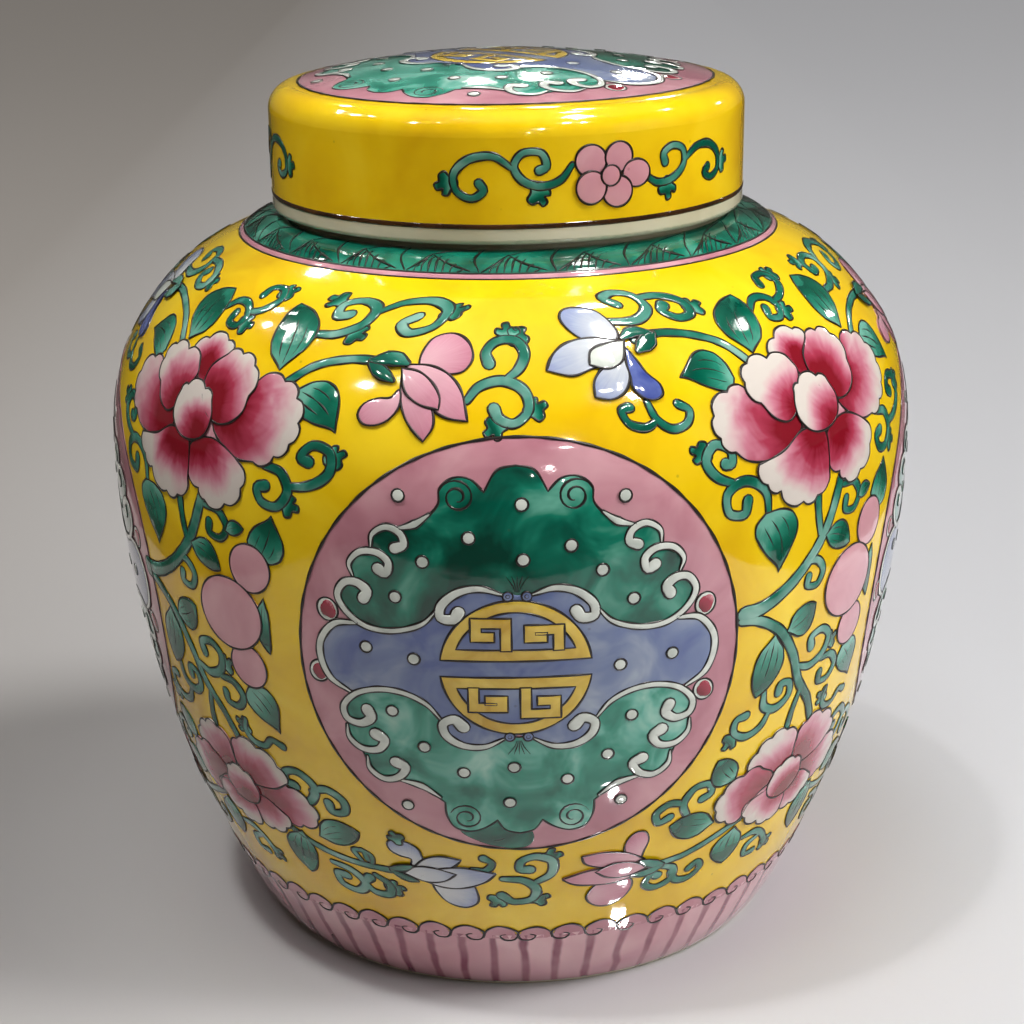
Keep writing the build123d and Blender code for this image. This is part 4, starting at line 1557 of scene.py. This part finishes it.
# %% Dim ceiling that fades out to all sides and gives the shoulder and the lid their milky sheen
ceiling, ceiling_tree, ceiling_shader = sheet("ceiling", disc(2.6, 48))
ceiling.location.z = 2.3
ceiling_place = add_node(ceiling_tree, "ShaderNodeTexCoord").outputs["Object"]
reach = add_node(ceiling_tree, "ShaderNodeVectorMath", {0: ceiling_place}, operation="LENGTH")
glow = fade(ceiling_tree, reach.outputs["Value"], 0.6, 2.4, 0.38, 0.0)
ceiling_shader.inputs["Base Color"].default_value = (0, 0, 0, 1)
ceiling_shader.inputs["Emission Color"].default_value = (1.0, 0.97, 0.92, 1)
ceiling_tree.links.new(glow, ceiling_shader.inputs["Emission Strength"])
only_reflected(ceiling)

# %% Lights
MIDDLE = (0, 0, 0.12)


def new_light(name, kind, place, watts):
    light = bpy.data.objects.new(name, bpy.data.lights.new(name, kind))
    light.location = place
    light.data.energy = watts
    scene.collection.objects.link(light)
    return light


def aimed(light, target):
    light.rotation_euler = (Vector(target) - light.location).to_track_quat("-Z", "Y").to_euler()


def soft_light(name, place, aim, size, watts):
    light = new_light(name, "AREA", place, watts)
    light.data.size = size
    aimed(light, aim)
    return light


for name, place, size, watts in (
    ("right", (0.75, -0.35, 0.4), 0.4, 2.7),
    ("top", (-0.3, -0.3, 1.8), 1.0, 16.5),
):
    soft_light(name, place, MIDDLE, size, watts).visible_glossy = False

spot = new_light("spot", "SPOT", (-0.35, -0.27, 1.5), 68)
spot.data.spot_size = math.radians(9)
spot.data.spot_blend = 0.8
spot.data.shadow_soft_size = 0.1
aimed(spot, (-0.03, -0.04, 0.17))
spot.visible_glossy = False

sky = new_light("sky", "SUN", (0, 0, 0), 2.2)
sky.data.angle = math.radians(18)
sky.rotation_euler = (math.radians(8), math.radians(42), 0)
sky.visible_glossy = False

# %% Small lamps that the glaze mirrors
# bearing from the front and height above level in degrees, width in metres
LAMPS = [
    (63, 67, 0.2), (80, 72, 0.1), (50, 60, 0.07), (-102, 47, 0.09), (-94, 52, 0.05), (-110, 43, 0.05),
    (-54, 48, 0.07), (-43, 54, 0.04), (34, 48, 0.08), (16, 28, 0.07), (10, 15, 0.04), (43, 45, 0.08),
    (140, 71, 0.09), (160, 58, 0.08), (178, 25, 0.04), (172, 21, 0.04), (-178, 28, 0.03),
    (-120, 46, 0.06), (-152, 43, 0.06), (105, 45, 0.06), (128, 21, 0.05),
]  # fmt: skip
LAMP_AWAY = 1.6
LAMP_GLARE = 320  # watts for each square metre of a lamp
WARM_WHITE = (1.0, 0.98, 0.94)
mirrored_lamps = []
for k, (bearing, up, size) in enumerate(LAMPS):
    turn, climb = math.radians(bearing), math.radians(up)
    towards = Vector((math.cos(climb) * math.sin(turn), -math.cos(climb) * math.cos(turn), math.sin(climb)))
    place = Vector(MIDDLE) + LAMP_AWAY * towards
    lamp = soft_light(f"lamp_{k}", place, MIDDLE, size, LAMP_GLARE * size**2)
    lamp.data.color = WARM_WHITE
    mirrored_lamps.append(lamp)
for k, (x, y) in enumerate(((0.053, -0.13), (0.042, -0.092), (0.033, -0.08))):
    # sparks on the foot, from close to the floor
    mirrored_lamps.append(soft_light(f"glint_{k}", (x, y, 0.002), (0.6 * x, 0.7 * y, 0.06), 0.005, 0.004))
for lamp in mirrored_lamps:
    lamp.visible_diffuse = False
    lamp.visible_camera = False
print(len(mirrored_lamps), "lamps for the reflections")

world = bpy.data.worlds.new("room")
world.use_nodes = True
room = world.node_tree.nodes["Background"]
room.inputs["Color"].default_value = (1.0, 0.92, 0.82, 1)
room.inputs["Strength"].default_value = 0.08
scene.world = world
scene.view_settings.view_transform = "Standard"

# %% Camera
CAMERA_AWAY = 0.5316  # from the jar's axis
CAMERA_HEIGHT = 0.2853
CAMERA_DOWN = math.radians(18.91)
CAMERA_ROLL = math.radians(-0.81)
camera_data = bpy.data.cameras.new("camera")
camera_data.lens = 73.1
camera = bpy.data.objects.new("camera", camera_data)
camera.matrix_world = (
    Matrix.Translation((0, -CAMERA_AWAY, CAMERA_HEIGHT))
    @ Matrix.Rotation(math.pi / 2 - CAMERA_DOWN, 4, "X")
    @ Matrix.Rotation(CAMERA_ROLL, 4, "Z")
)
scene.collection.objects.link(camera)
scene.camera = camera
